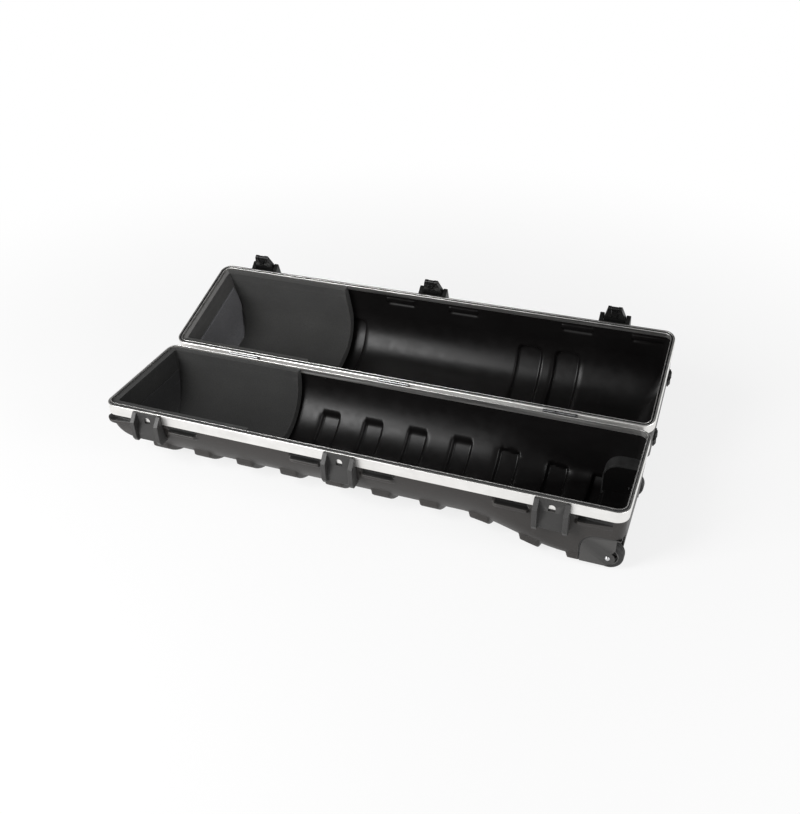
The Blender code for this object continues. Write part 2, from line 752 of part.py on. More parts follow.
def latch_flap(side, x, flap):
    """Flap that swings over the keeper, tapered and forked at the tip to hold the trigger's pin."""
    half = LATCH_WIDTH / 2 - LATCH_RIB - FLAP_CLEAR
    above = FLAP_PIVOT_UP + EAR_RADIUS
    tip = (TRIGGER_PIVOT_OUT, -FLAP_REACH)
    outline = [(FLAP_INNER, FLAP_PIVOT_UP - 2 * EAR_RADIUS), (FLAP_INNER, -FLAP_REACH / 2)]
    outline += arc(tip, EAR_RADIUS, 180.0, 360.0, 6)
    outline += [
        (FLAP_OUTER - PIN_RADIUS, -FLAP_SLOT_TOP), (FLAP_OUTER, FLAP_PIVOT_UP / 2),
        (FLAP_PIVOT_OUT + EAR_RADIUS, FLAP_PIVOT_UP + PIN_RADIUS), (FLAP_PIVOT_OUT, above),
        (FLAP_PIVOT_OUT - EAR_RADIUS, FLAP_PIVOT_UP),
    ]
    item = slab("latch_flap_" + side, side_view(outline), x - half, x + half, "X")
    part(soften(item, 0.0012), LATCH, flap)
    slot = half - ARM_WIDTH
    low = side_view([(FLAP_OUTER + EAR_RADIUS, -2 * FLAP_REACH)])[0]
    high = side_view([(0.0, -FLAP_SLOT_TOP)])[0]
    cut(item, box(f"latch_flap_{side}_slot", (x - slot, *low), (x + slot, *high)))
    taper = (half - FLAP_TIP) / FLAP_REACH
    below = FLAP_REACH + 2 * EAR_RADIUS
    for hand, sign in (("a", -1.0), ("b", 1.0)):
        wedge = [
            (x + sign * half, RIM_HEIGHT), (x + sign * 2 * half, RIM_HEIGHT),
            (x + sign * 2 * half, RIM_HEIGHT - below),
            (x + sign * (half - taper * below), RIM_HEIGHT - below),
        ]
        cut(item, slab(f"latch_flap_{side}_taper_{hand}", wedge, -CASE_WIDTH, -HALF_WIDTH, "Y"))
    for hand, place in (("pivot", (FLAP_PIVOT_OUT, FLAP_PIVOT_UP)), ("tip", tip)):
        hole = cross_rod(f"latch_flap_{side}_{hand}_hole", place, x - LATCH_WIDTH, x + LATCH_WIDTH,
                         PIN_RADIUS + FIT_GAP)
        cut(item, hole)
    reach = FLAP_TIP - FLAP_CLEAR
    pin = cross_rod("trigger_pin_" + side, tip, x - reach, x + reach, PIN_RADIUS)
    part(pin, STEEL, flap)


def latch_trigger(side, x, trigger):
    """Sprung trigger between the flap's arms; its toe hooks into the keeper's window."""
    half = LATCH_WIDTH / 2 - LATCH_RIB - FLAP_CLEAR - ARM_WIDTH - TRIGGER_CLEAR
    inner = TRIGGER_PIVOT_OUT - TRIGGER_PLATE * 0.6
    outer = inner + TRIGGER_PLATE
    top = -FLAP_SLOT_TOP - TRIGGER_CLEAR - FLAP_CLEAR
    tip = (TRIGGER_PIVOT_OUT, -FLAP_REACH)
    outline = arc(tip, TRIGGER_BARREL, 127.0, 426.0, 12)
    outline += [
        (outer, top - 2 * TRIGGER_LIP), (outer + TRIGGER_LIP, top - TRIGGER_LIP / 2),
        (outer + TRIGGER_LIP, top), (inner, top),
    ]
    item = slab("latch_trigger_" + side, side_view(outline), x - half, x + half, "X")
    part(soften(item, 0.0008), LATCH, trigger)
    toe_top = -WINDOW_DEPTH - TOE_DROP
    toe = WINDOW_WIDTH / 2 - TOE_CLEAR
    low = side_view([(inner + TRIGGER_PLATE / 2, toe_top - TOE_HEIGHT)])[0]
    high = side_view([(TOE_CLEAR, toe_top)])[0]
    join(item, box(f"latch_trigger_{side}_toe", (x - toe, *low), (x + toe, *high)))
    hole = cross_rod(f"latch_trigger_{side}_hole", tip, x - LATCH_WIDTH, x + LATCH_WIDTH,
                     PIN_RADIUS + FIT_GAP)
    cut(item, hole)


def latches(lid, base_hull):
    for side, x in LATCH_PLACES.items():
        keeper(side, x, base_hull)
        latch_housing(side, x, lid)
        y, z = side_view([(FLAP_PIVOT_OUT, FLAP_PIVOT_UP)])[0]
        flap = pivot("flap_axis_" + side, (x, y, z), lid)
        latch_flap(side, x, flap)
        y, z = side_view([(TRIGGER_PIVOT_OUT, -FLAP_REACH)])[0]
        latch_trigger(side, x, pivot("trigger_axis_" + side, (x, y, z), flap))


# Hinges

def hinge_leaf(name, x, side, knuckles, parent=None):
    """Leaf on the rear face of a rim; side is -1 below the axis and 1 above it."""
    near = HALF_WIDTH + FIT_GAP
    far = near + HINGE_LEAF
    clear = HINGE_BARREL + 2 * KNUCKLE_GAP
    edges = sorted((AXIS_Z + side * clear, AXIS_Z + side * (clear + HINGE_LEAF_HEIGHT)))
    half = HINGE_LENGTH / 2
    item = part(box(name, (x - half, near, edges[0]), (x + half, far, edges[1])), STEEL, parent)
    for number, (low, high) in enumerate(knuckles):
        start = x + low
        end = x + high
        tab_edges = sorted((AXIS_Z + side * KNUCKLE_GAP, AXIS_Z + side * (clear + HINGE_LEAF)))
        tab = box(f"{name}_tab_{number}", (start + FIT_GAP, near + FIT_GAP, tab_edges[0]),
                  (end - FIT_GAP, far - FIT_GAP, tab_edges[1]))
        join(item, tab)
        ends = [(place, AXIS_Y, AXIS_Z) for place in (start, end)]
        join(item, rod(f"{name}_knuckle_{number}", *ends, HINGE_BARREL))
    hole = rod(f"{name}_hole", (x - HINGE_LENGTH, AXIS_Y, AXIS_Z), (x + HINGE_LENGTH, AXIS_Y, AXIS_Z),
               PIN_RADIUS + FIT_GAP)
    cut(item, hole)


def hinges(lid):
    half = HINGE_LENGTH / 2
    third = HINGE_LENGTH / 6
    for side, x in zip(LATCH_PLACES, HINGE_PLACES):
        outer = [(-half, -third - KNUCKLE_GAP), (third + KNUCKLE_GAP, half)]
        hinge_leaf(f"hinge_{side}_base_leaf", x, -1, outer)
        hinge_leaf(f"hinge_{side}_lid_leaf", x, 1, [(-third, third)], lid)
        pin = rod(f"hinge_{side}_pin", (x - half, AXIS_Y, AXIS_Z), (x + half, AXIS_Y, AXIS_Z), PIN_RADIUS)
        part(pin, STEEL)


# Wheels

def rounded_corner(left, right, low, high, radius):
    """Outline in (x, z) with its upper left corner rounded."""
    corner = arc((left + radius, high - radius), radius, 90.0, 180.0, 6)
    return [(left, low), (right, low), (right, high)] + corner


def span(side, first, second):
    """Low and high Y of two distances from the case's middle plane on one side."""
    return sorted((side * first, side * second))


def wheel_set(name, side, base):
    """Housing let into a lower corner of the base, with its axle and turning wheel."""
    outer = HALF_WIDTH - SHELL_INSET - WALL_DRAFT
    cheek = outer - CHEEK_OUTER
    inner = cheek - WHEEL_WIDTH - 2 * WHEEL_PLAY
    back = inner - CHEEK_INNER
    right = HALF_LENGTH - SHELL_INSET - WALL_DRAFT
    beyond = HALF_LENGTH + WHEEL_RADIUS
    wall = HOUSING_WALL

    opening = rounded_corner(HOUSING_LEFT - HOUSING_GAP, beyond, -WHEEL_RADIUS,
                             HOUSING_TOP + HOUSING_GAP, HOUSING_CORNER + HOUSING_GAP)
    cut(base, slab(f"base_shell_{name}_opening", opening, *span(side, back - HOUSING_GAP, CASE_WIDTH), "Y"))

    block = rounded_corner(HOUSING_LEFT, right, HOUSING_BOTTOM, HOUSING_TOP, HOUSING_CORNER)
    housing = part(slab("wheel_housing_" + name, block, *span(side, back, outer), "Y"), SHELL)
    well = rounded_corner(HOUSING_LEFT + wall, beyond, -WHEEL_RADIUS, HOUSING_TOP - wall,
                          HOUSING_CORNER - wall)
    cut(housing, slab(f"wheel_housing_{name}_well", well, *span(side, inner, cheek), "Y"))
    boss = arc((WHEEL_X, AXLE_Z), BOSS_RADIUS, -90.0, BOSS_TURN, 8)
    plate_low = AXLE_Z + (PLATE_RIGHT - WHEEL_X) * math.tan(math.radians(BOSS_TURN))
    plate_high = HOUSING_TOP - wall / 2
    edge = [(PLATE_RIGHT, plate_low), (PLATE_RIGHT, plate_high), (beyond, plate_high)]
    edge += [(beyond, -WHEEL_RADIUS), (WHEEL_X, -WHEEL_RADIUS)]
    outside = span(side, cheek - FIT_GAP, CASE_WIDTH)
    cut(housing, slab(f"wheel_housing_{name}_edge", boss + edge, *outside, "Y"))
    hole_ends = [(WHEEL_X, side * y, AXLE_Z) for y in (HALF_WIDTH, back - CHEEK_INNER)]
    cut(housing, rod(f"wheel_housing_{name}_hole", *hole_ends, AXLE_RADIUS + FIT_GAP))

    shaft_ends = [(WHEEL_X, side * y, AXLE_Z) for y in (outer + FIT_GAP + AXLE_HEAD / 4, back)]
    axle = part(rod("axle_" + name, *shaft_ends, AXLE_RADIUS), STEEL)
    head_ends = [(WHEEL_X, side * y, AXLE_Z) for y in (outer + FIT_GAP, outer + FIT_GAP + AXLE_HEAD / 3)]
    join(axle, rod(f"axle_{name}_head", *head_ends, AXLE_HEAD))

    centre = (WHEEL_X, side * (cheek + inner) / 2, AXLE_Z)
    spin = pivot("wheel_axis_" + name, centre)
    half = WHEEL_WIDTH / 2
    round_edge = WHEEL_WIDTH / 6
    seat = HUB_RADIUS + FIT_GAP
    tread = [(WHEEL_RADIUS - round_edge / 2, half), (WHEEL_RADIUS, half - round_edge)]
    tyre = [(seat, half)] + tread + [(r, -y) for r, y in reversed(tread)] + [(seat, -half)]
    part(turned("tyre_" + name, tyre, centre), RUBBER, spin)
    bore = AXLE_RADIUS + FIT_GAP
    boss_radius = 3 * AXLE_RADIUS
    web = half - round_edge
    rim_wall = HUB_RADIUS - AXLE_RADIUS
    face = [(bore, half + WHEEL_PLAY / 2), (boss_radius, half + WHEEL_PLAY / 2), (boss_radius, web),
            (rim_wall, web), (rim_wall, half), (HUB_RADIUS, half)]
    hub_profile = face + [(r, -y) for r, y in reversed(face)]
    hub = part(turned("hub_" + name, hub_profile, centre), HUB, spin)
    reach = (boss_radius + rim_wall) / 2
    for number in range(SPOKE_HOLES):
        angle = 2 * math.pi * number / SPOKE_HOLES
        x = WHEEL_X + reach * math.cos(angle)
        z = AXLE_Z + reach * math.sin(angle)
        ends = [(x, centre[1] + step * WHEEL_WIDTH, z) for step in (-1, 1)]
        cut(hub, rod(f"hub_{name}_slot_{number}", *ends, (rim_wall - boss_radius) * 0.4, 10))


# Lid feet and tow handle

def lid_feet(lid):
    wall = HALF_LENGTH - SHELL_INSET - wall_draft(FOOT_DEPTH - FOOT_HEIGHT, LID_DEPTH) + FIT_GAP
    z = LID_RIM_Z + FOOT_DEPTH
    lobe = FOOT_LENGTH / 4
    for name, y in zip(("front", "rear"), FOOT_PLACES):
        low = (wall, y - FOOT_LENGTH / 2, z - FOOT_HEIGHT / 2)
        high = (wall + FOOT_PROUD / 2, y + FOOT_LENGTH / 2, z + FOOT_HEIGHT / 2)
        foot = part(box("lid_foot_" + name, low, high), RUBBER, lid)
        for hand, place in (("a", y - lobe), ("b", y + lobe)):
            centre = wall + FOOT_PROUD - lobe
            ends = [(centre, place, z + step * FOOT_HEIGHT * 0.45) for step in (-1, 1)]
            join(foot, rod(f"lid_foot_{name}_lobe_{hand}", *ends, lobe))
        back = box(f"lid_foot_{name}_back", (wall - CORNER_RADIUS, y - FOOT_LENGTH, z - FOOT_LENGTH),
                   (wall, y + FOOT_LENGTH, z + FOOT_LENGTH))
        cut(foot, back)


def tow_handle():
    wall = -(HALF_LENGTH - SHELL_INSET) - FIT_GAP
    plate = wall - BRACKET_PLATE
    axis_x = plate - PIVOT_OUT
    top = RIM_HEIGHT - BRACKET_TOP
    axis_z = top - BRACKET_HEIGHT / 2
    half = HANDLE_SPAN / 2
    ear = half + 2 * HANDLE_ROD
    outside = ear + BRACKET_EAR
    end = outside + BRACKET_EAR / 2
    bracket = part(box("handle_bracket", (plate, -end, top - BRACKET_HEIGHT), (wall, end, top)), SHELL)
    reach = axis_x - 2 * HANDLE_ROD
    for hand, start in (("front", -outside), ("rear", ear)):
        lug_low = (reach, start, axis_z - 2 * HANDLE_ROD)
        lug_high = (wall - BRACKET_PLATE / 2, start + BRACKET_EAR, axis_z + 2 * HANDLE_ROD)
        join(bracket, soften(box(f"handle_bracket_lug_{hand}", lug_low, lug_high), 0.002))
    hole_ends = [(axis_x, step * CASE_WIDTH / 2, axis_z) for step in (-1, 1)]
    cut(bracket, rod("handle_bracket_hole", *hole_ends, HANDLE_ROD + ROD_PLAY))

    swing = pivot("handle_axis", (axis_x, 0.0, axis_z))
    bend = 3 * HANDLE_ROD
    low_z = axis_z - HANDLE_DROP
    side = [(outside - HANDLE_ROD, axis_z), (half + HANDLE_ROD, axis_z)]
    side += arc((half + HANDLE_ROD, axis_z - HANDLE_ROD), HANDLE_ROD, 90.0, 180.0, 3)[1:]
    side += arc((half - bend, low_z + bend), bend, 0.0, -90.0, 4)
    path = side + [(-y, z) for y, z in reversed(side)]
    curve = bpy.data.curves.new("handle_bail", "CURVE")
    curve.dimensions = "3D"
    curve.bevel_depth = HANDLE_ROD
    curve.bevel_resolution = 2
    curve.use_fill_caps = True
    spline = curve.splines.new("POLY")
    spline.points.add(len(path) - 1)
    for point, (y, z) in zip(spline.points, path):
        point.co = (axis_x, y, z, 1.0)
    part(solid_curve("handle_bail", curve), STEEL, swing)
    grip_half = HANDLE_GRIP_LENGTH / 2
    bore = HANDLE_ROD + FIT_GAP
    grip = [(bore, grip_half), (HANDLE_GRIP, grip_half), (HANDLE_GRIP, -grip_half), (bore, -grip_half)]
    part(turned("handle_grip", grip, (axis_x, 0.0, low_z), ROUND_STEPS), RUBBER, swing)


def build():
    lid = pivot("lid_axis", (0.0, AXIS_Y, AXIS_Z), turn=-LID_OPEN_ANGLE)
    base_ribs = [(BASE_RIB_FIRST + BASE_RIB_PITCH * i, BASE_RIB_WIDTH) for i in range(BASE_RIB_COUNT)]
    base_ribs.append((SHORT_RIB_PLACE, SHORT_RIB_WIDTH))
    lid_ribs = [(place, LID_RIB_WIDTH) for place in LID_RIB_PLACES]
    base_hull = Hull(BASE_DEPTH, BASE_EDGE_RADIUS, HEAD_END_RISE, HEAD_END_RADIUS, WHEEL_END_RADIUS,
                     base_ribs, True)
    lid_hull = Hull(LID_DEPTH, LID_EDGE_RADIUS, LID_END_RADIUS, LID_END_RADIUS, LID_END_RADIUS,
                    lid_ribs, False)

    base = part(shell("base_shell", base_hull, base_place, False, RIM_WEB + FIT_GAP), SHELL)
    bars(base, base_place)
    rim("base_rim", base_rim_profile())
    line_with_foam("base", base_hull, base_place, False, (FOAM_BELOW_RIM, RIM_LEG + FIT_GAP))

    lid_shell = part(shell("lid_shell", lid_hull, lid_place, True, LID_WEB + FIT_GAP), SHELL, lid)
    bars(lid_shell, lid_place)
    rim("lid_rim", lid_rim_profile(), lid)
    lid_depths = (LID_WEB + FIT_GAP, LID_WEB + RIM_LEG + FIT_GAP)
    line_with_foam("lid", lid_hull, lid_place, True, lid_depths, lid)

    latches(lid, base_hull)
    hinges(lid)
    wheel_set("front", -1, base)
    wheel_set("rear", 1, base)
    lid_feet(lid)
    tow_handle()


clear_scene()
PARTS = new_collection("travel_case")
CUTTERS = new_collection("cutters")
CASE = bpy.data.objects.new("case", None)
CASE.location.x = -(BASE_RIB_FIRST + BASE_RIB_PITCH * ORIGIN_RIB)
PARTS.objects.link(CASE)
PIVOT_PLACES = {CASE.name: Matrix.Identity(4)}
SHELL = principled("moulded plastic", (0.085, 0.083, 0.080), 0.55)
METAL = principled("satin aluminium", (0.80, 0.79, 0.77), 0.35, 1.0)
FOAM = principled("grey foam", (0.060, 0.060, 0.060), 0.95)
LATCH = principled("black plastic", (0.015, 0.015, 0.015), 0.40)
STEEL = principled("steel", (0.60, 0.60, 0.60), 0.30, 1.0)
RUBBER = principled("black rubber", (0.020, 0.020, 0.020), 0.70)
HUB = principled("wheel plastic", (0.075, 0.074, 0.072), 0.50)
build()
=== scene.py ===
import math

import bmesh
import bpy
from mathutils import Matrix, Vector, noise


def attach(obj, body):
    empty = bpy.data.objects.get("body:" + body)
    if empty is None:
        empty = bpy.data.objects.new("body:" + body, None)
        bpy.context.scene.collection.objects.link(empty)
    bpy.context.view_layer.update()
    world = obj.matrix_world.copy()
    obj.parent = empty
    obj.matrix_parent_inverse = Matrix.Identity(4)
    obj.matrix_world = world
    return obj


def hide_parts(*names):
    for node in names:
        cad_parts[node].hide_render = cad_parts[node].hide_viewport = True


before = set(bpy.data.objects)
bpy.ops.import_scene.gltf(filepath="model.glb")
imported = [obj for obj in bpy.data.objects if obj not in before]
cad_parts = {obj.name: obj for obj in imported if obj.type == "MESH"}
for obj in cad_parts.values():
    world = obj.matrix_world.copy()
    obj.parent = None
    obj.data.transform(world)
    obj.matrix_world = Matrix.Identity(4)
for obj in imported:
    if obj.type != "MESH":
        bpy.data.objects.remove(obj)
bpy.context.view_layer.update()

# Sizes shared with the solids, in metres, about the middle of the case's length
ORIGIN_SHIFT = 0.0405
CASE_LENGTH = 1.300
CASE_WIDTH = 0.315
RIM_HEIGHT = 0.172
CORNER_RADIUS = 0.029
SHELL_WALL = 0.004
WALL_DRAFT = 0.006
FIT_GAP = 0.0003
FLOOR_GAP = 0.0008
OPEN_ANGLE = math.radians(162.0)
HALF_LENGTH = CASE_LENGTH / 2
HALF_WIDTH = CASE_WIDTH / 2

BASE_EDGE_RADIUS = 0.128
HEAD_END_RISE = 0.10626
HEAD_END_RADIUS = 0.072
WHEEL_END_RADIUS = 0.030
SQUARE_FROM = 0.270
SQUARE_TO = 0.530
LID_EDGE_RADIUS = 0.110
LID_END_RADIUS = 0.060
CORNER_GROWTH = -0.15
CORNER_LIMIT = 0.8
CORNER_MINIMUM = 0.006

RIB_HEIGHT = 0.011
RIB_CHAMFER = 0.0075
BASE_RIBS = [(-0.5225 + 0.1205 * i, 0.040) for i in range(9)] + [(0.5428, 0.0245)]
LID_RIBS = [(x, 0.058) for x in (-0.352, -0.2485, 0.272, 0.3755)]
BASE_RIB_START = math.radians(38.0)
LID_RIB_START = math.radians(21.0)
LID_RIB_CORNER = 0.012

LATCH_PLACES = {"left": -0.523, "middle": -0.005, "right": 0.491}
BAR_INNER = 0.048
BAR_OUTER = 0.135
BAR_LIMIT = HALF_LENGTH - 0.048
BAR_SLANT = 0.009
BAR_PROUD = 0.008
BAR_DEPTHS = (0.0400, 0.0440, 0.0490, 0.0570)
GROOVE_DEPTHS = (0.0282, 0.0292, 0.0385, 0.0420)
GROOVE_END = 0.0428
GROOVE_INWARD = 0.006
LEDGE_INSIDE = 0.55

RIM_BAND = 0.028
RIM_METAL = 0.002
RIM_WEB = 0.0035
RIM_LEG = 0.012
RIM_PLAY = 0.0008
TONGUE_HEIGHT = 0.004
TONGUE_WIDTH = 0.0024
GROOVE_PLAY = 0.0007
SHELL_INSET = RIM_METAL + FIT_GAP
BASE_DEPTH = RIM_HEIGHT - RIB_HEIGHT
HINGE_OFFSET = 0.0055
AXIS_Y = HALF_WIDTH + HINGE_OFFSET
AXIS_Z = RIM_HEIGHT + RIM_PLAY / 2
LID_RIM_Z = RIM_HEIGHT + RIM_PLAY
LID_WEB = TONGUE_HEIGHT + GROOVE_PLAY + RIM_METAL - RIM_PLAY

FOAM_END = -0.254
FOAM_TOP_THICKNESS = 0.016
FOAM_THICKNESS = 0.022
FOAM_BELOW_RIM = 0.001
FOAM_GAP = 0.0008
PANEL_SIZES = {"base": (0.056, 0.003), "lid": (0.054, 0.003)}

WHEEL_RADIUS = 0.033
WHEEL_WIDTH = 0.026
WHEEL_X = 0.6165
WHEEL_Y = 0.1282
AXLE_Z = 0.034
HUB_RADIUS = 0.023
AXLE_RADIUS = 0.003
AXLE_HEAD = 0.0055
CHEEK_FACE = 0.1492
HOUSING_LEFT = 0.556
HOUSING_TOP = 0.0895
HOUSING_BOTTOM = 0.012
HOUSING_CORNER = 0.036
HOUSING_CENTRE = (HOUSING_LEFT + HOUSING_CORNER, HOUSING_TOP - HOUSING_CORNER)
HOUSING_GAP = 0.0034
HOUSING_BACK = 0.1082

HINGE_PLACES = (-0.430, 0.0, 0.430)
HANDLE_AXIS_X = -0.6615
HANDLE_AXIS_Z = 0.126
HANDLE_SPAN = 0.104
HANDLE_DROP = 0.050
HANDLE_ROD = 0.004
HANDLE_OUTSIDE = 0.067

# Meshes of the formed shells
SIDE_LIMIT = 0.552
BASE_SPAN = (-SIDE_LIMIT, 0.5640)
LID_SPAN = (-SIDE_LIMIT, SIDE_LIMIT)
BASE_STEPS = 26
LID_STEPS = 40
CORNER_STEPS = 10
BASE_RIB_CORNER = 0.002
LEDGE_TURN = 15.0
STATION_STEP = 0.016
STATION_MINIMUM = 0.0011
RIB_STATIONS = (-1.2, -0.7, -0.3, 0.0, 0.2, 0.4, 0.6, 0.8, 1.0)
LEDGE_STATIONS = (0.0, 0.25, 0.5, 0.75, 1.0)
WALL_DEPTHS = [0.028, 0.0286, 0.0292, 0.0320, 0.0352, 0.0385, 0.0396, 0.0407, 0.0418, 0.0428, 0.0434,
               0.0440, 0.0465, 0.0490, 0.0510, 0.0530, 0.0550, 0.0570, 0.0610]
SAME_POINT = 0.000001
MERGE_DISTANCE = 0.00001
SOLID_WELD = 0.00002
OPENING_END = 0.70
OPENING_BOTTOM = -0.02

# Seals of the wheel housings
SEAL_STEPS = 16
SEAL_END_PLACES = (0.620, 0.628, 0.634, 0.638, 0.6426)
SEAL_FOOT = 0.0075
SEAL_FOOT_LEVELS = (0.0012, 0.004, 0.007, 0.010)
SEAL_FOOT_GAP = 0.0002
SEAL_BEHIND_HULL = 0.0012
SEAL_PROUD = 0.0014
CHEEK_SKIN = 0.001

# Rims: corner mesh, rounded lip of the lid's rim, and the profile sides of the grooves, which take black
# rubber as painted shade
RIM_CORNER_STEPS = 14
RIM_EDGE = 0.0005
RIM_ROUND = 0.0026
RIM_ROUNDING = ((0.08, 0.6), (0.3, 0.28), (0.6, 0.08))
BASE_GROOVE_SHADE = (8, 9, 10)
LID_GROOVE_SHADE = (6, 7, 8)

# Foam: turns are degrees round the corner of the plan
END_SHEET_TURN = 44.0
WRAP_SHEET_TURN = 46.0
FOAM_TURN_STEP = 5.5
FOAM_STATION_STEP = 0.018
PAD_BELOW_LEG = 0.006
PAD_STEPS = 22
PAD_EDGE = 0.0028
PANEL_SUNK = 0.002
PANEL_FALL = 0.034
PANEL_FALL_POWER = 1.5
PANEL_TOP_STEPS = (0.0, 0.004, 0.012)
PANEL_STEPS = 20
PANEL_EDGE = 0.0012
WAVE_SCALE = 14.0
WAVE_ACROSS = 0.004
WAVE_DEEP = 0.0007

# Turned pieces: drops below the tread and offsets from the wheel's side or middle
WHEEL_SIDES = (("front", -1.0), ("rear", 1.0))
WHEEL_STEPS = 72
ROD_STEPS = 40
TURNED_SHARP = 30.0
TYRE_SHOULDER = ((0.0045, 0.0), (0.0018, 0.0012), (0.0004, 0.0035), (0.0, 0.0060))
TYRE_GROOVE = ((0.0, 0.0042), (0.0011, 0.0036), (0.0011, 0.0026), (0.0, 0.0020))
BOSS_RADIUS = 0.009
BOSS_PROUD = 0.0015
HUB_EDGE = 0.0008
HUB_LIP = 0.0006
SPOKE_HOLES = 5
SPOKE_RADIUS = 0.0041
SPOKE_CUT = 0.03
AXLE_DOME = [(0.0004, 0.0031), (0.0018, 0.0029), (0.0034, 0.0022), (0.0047, 0.0011)]
AXLE_LENGTH = 0.0395
AXLE_TIP = 0.0004
GRIP_RADIUS = 0.0085
GRIP_END_RADIUS = 0.0072
GRIP_GROOVE_RADIUS = 0.0078
GRIP_HALF = 0.035
GRIP_SHOULDER = 0.0335
GRIP_GROOVES = 12
GRIP_GROOVE = (0.0012, 0.0004)
GRIP_FIRST = 0.0305
GRIP_PITCH = 0.0055

# Rivets
HINGE_LEAF = 0.002
RIVET_STEPS = 20
RIVET_RINGS = (1.0, 0.96, 0.80, 0.52, 0.22)
RIVET_RADIUS = 0.0032
RIVET_HEIGHT = 0.0016
RIVET_SUNK = 0.0004
RIVET_PITCH = 0.030
RIVET_FROM_AXIS = 0.0175


def lid_depth():
    """Depth at which the lid, thrown back, rests its ribs on the floor."""
    arc_back = HINGE_OFFSET + SHELL_INSET + WALL_DRAFT + LID_EDGE_RADIUS
    drop = AXIS_Z + arc_back * math.sin(OPEN_ANGLE) - LID_EDGE_RADIUS - RIB_HEIGHT - FLOOR_GAP
    return LID_EDGE_RADIUS - drop / math.cos(OPEN_ANGLE)


LID_DEPTH = lid_depth()
SHIFT = Matrix.Translation((ORIGIN_SHIFT, 0.0, 0.0))
HINGE_AXIS = Matrix.Translation((0.0, AXIS_Y, AXIS_Z))
OPENED = SHIFT @ HINGE_AXIS @ Matrix.Rotation(-OPEN_ANGLE, 4, "X") @ HINGE_AXIS.inverted()
PLACES = {"base": SHIFT, "lid": OPENED}


def new_object(name, data):
    item = bpy.data.objects.new(name, data)
    bpy.context.scene.collection.objects.link(item)
    return item


# Camera, fitted to the rims in the photograph

CAMERA_PLACE = (0.8318, -1.7114, 1.4558)
CAMERA_RIGHT = (0.9313, 0.3629, -0.0302)
CAMERA_UP = (-0.1783, 0.5268, 0.8311)
CAMERA_LENS = 41.95


def make_camera():
    right = Vector(CAMERA_RIGHT)
    up = Vector(CAMERA_UP)
    back = right.cross(up).normalized()
    up = back.cross(right).normalized()
    data = bpy.data.cameras.new("camera")
    data.lens = CAMERA_LENS
    camera = new_object("camera", data)
    turn = Matrix((right.normalized(), up, back)).transposed().to_4x4()
    camera.matrix_world = Matrix.Translation(CAMERA_PLACE) @ turn
    bpy.context.scene.camera = camera


# Materials

def range_node(nodes, limits, interpolation):
    node = nodes.new("ShaderNodeMapRange")
    node.interpolation_type = interpolation
    for socket, number in zip(("From Min", "From Max", "To Min", "To Max"), limits):
        node.inputs[socket].default_value = number
    return node


class Finish:
    """Procedural material: a principled shader with noise driven colour, roughness and bump."""

    def __init__(self, name, roughness, metallic=0.0):
        self.material = bpy.data.materials.new(name)
        self.material.use_nodes = True
        self.nodes = self.material.node_tree.nodes
        self.links = self.material.node_tree.links
        self.shader = self.nodes["Principled BSDF"]
        self.shader.inputs["Roughness"].default_value = roughness
        self.shader.inputs["Metallic"].default_value = metallic
        self.coordinates = self.nodes.new("ShaderNodeTexCoord").outputs["Object"]
        self.last_bump = None

    def added(self, kind, output, links, **values):
        """Output of a new node with some inputs linked and others set."""
        node = self.nodes.new("ShaderNode" + kind)
        for name, socket in links.items():
            self.links.new(socket, node.inputs[name])
        for name, value in values.items():
            node.inputs[name].default_value = value
        return node.outputs[output]

    def noise(self, scale, detail, roughness=0.55, stretch=None):
        vector = self.coordinates
        if stretch:
            vector = self.added("Mapping", "Vector", {"Vector": vector}, Scale=stretch)
        return self.added("TexNoise", "Fac", {"Vector": vector},
                          Scale=scale, Detail=detail, Roughness=roughness)

    def cells(self, scale):
        return self.added("TexVoronoi", "Distance", {"Vector": self.coordinates}, Scale=scale)

    def ranged(self, value, low, high, to_low, to_high):
        node = range_node(self.nodes, (low, high, to_low, to_high), "SMOOTHSTEP")
        self.links.new(value, node.inputs["Value"])
        return node.outputs["Result"]

    def colour(self, value, stops):
        """Ramp between two stops of place and shade."""
        ramp = self.nodes.new("ShaderNodeValToRGB")
        for element, (place, shade) in zip(ramp.color_ramp.elements, stops):
            element.position = place
            element.color = (*shade, 1.0)
        self.links.new(value, ramp.inputs["Fac"])
        return ramp.outputs["Color"]

    def mixed(self, share, colour, shade):
        """A colour with a plain shade laid over a share of it."""
        node = self.nodes.new("ShaderNodeMix")
        node.data_type = "RGBA"
        self.links.new(share, node.inputs[0])
        self.links.new(colour, node.inputs[6])
        node.inputs[7].default_value = (*shade, 1.0)
        return node.outputs[2]

    def edges(self, low, high):
        """Share that rises on convex edges."""
        geometry = self.nodes.new("ShaderNodeNewGeometry")
        return self.ranged(geometry.outputs["Pointiness"], low, high, 0.0, 1.0)

    def bump(self, height, strength, distance):
        links = {"Height": height}
        if self.last_bump:
            links["Normal"] = self.last_bump
        self.last_bump = self.added("Bump", "Normal", links, Strength=strength, Distance=distance)

    def done(self, colour, roughness=None, **sockets):
        self.links.new(colour, self.shader.inputs["Base Color"])
        if roughness:
            self.links.new(roughness, self.shader.inputs["Roughness"])
        self.links.new(self.last_bump, self.shader.inputs["Normal"])
        for name, value in sockets.items():
            self.shader.inputs[name.replace("_", " ")].default_value = value
        return self.material


def scaled(shade, factor):
    return tuple(factor * c for c in shade)


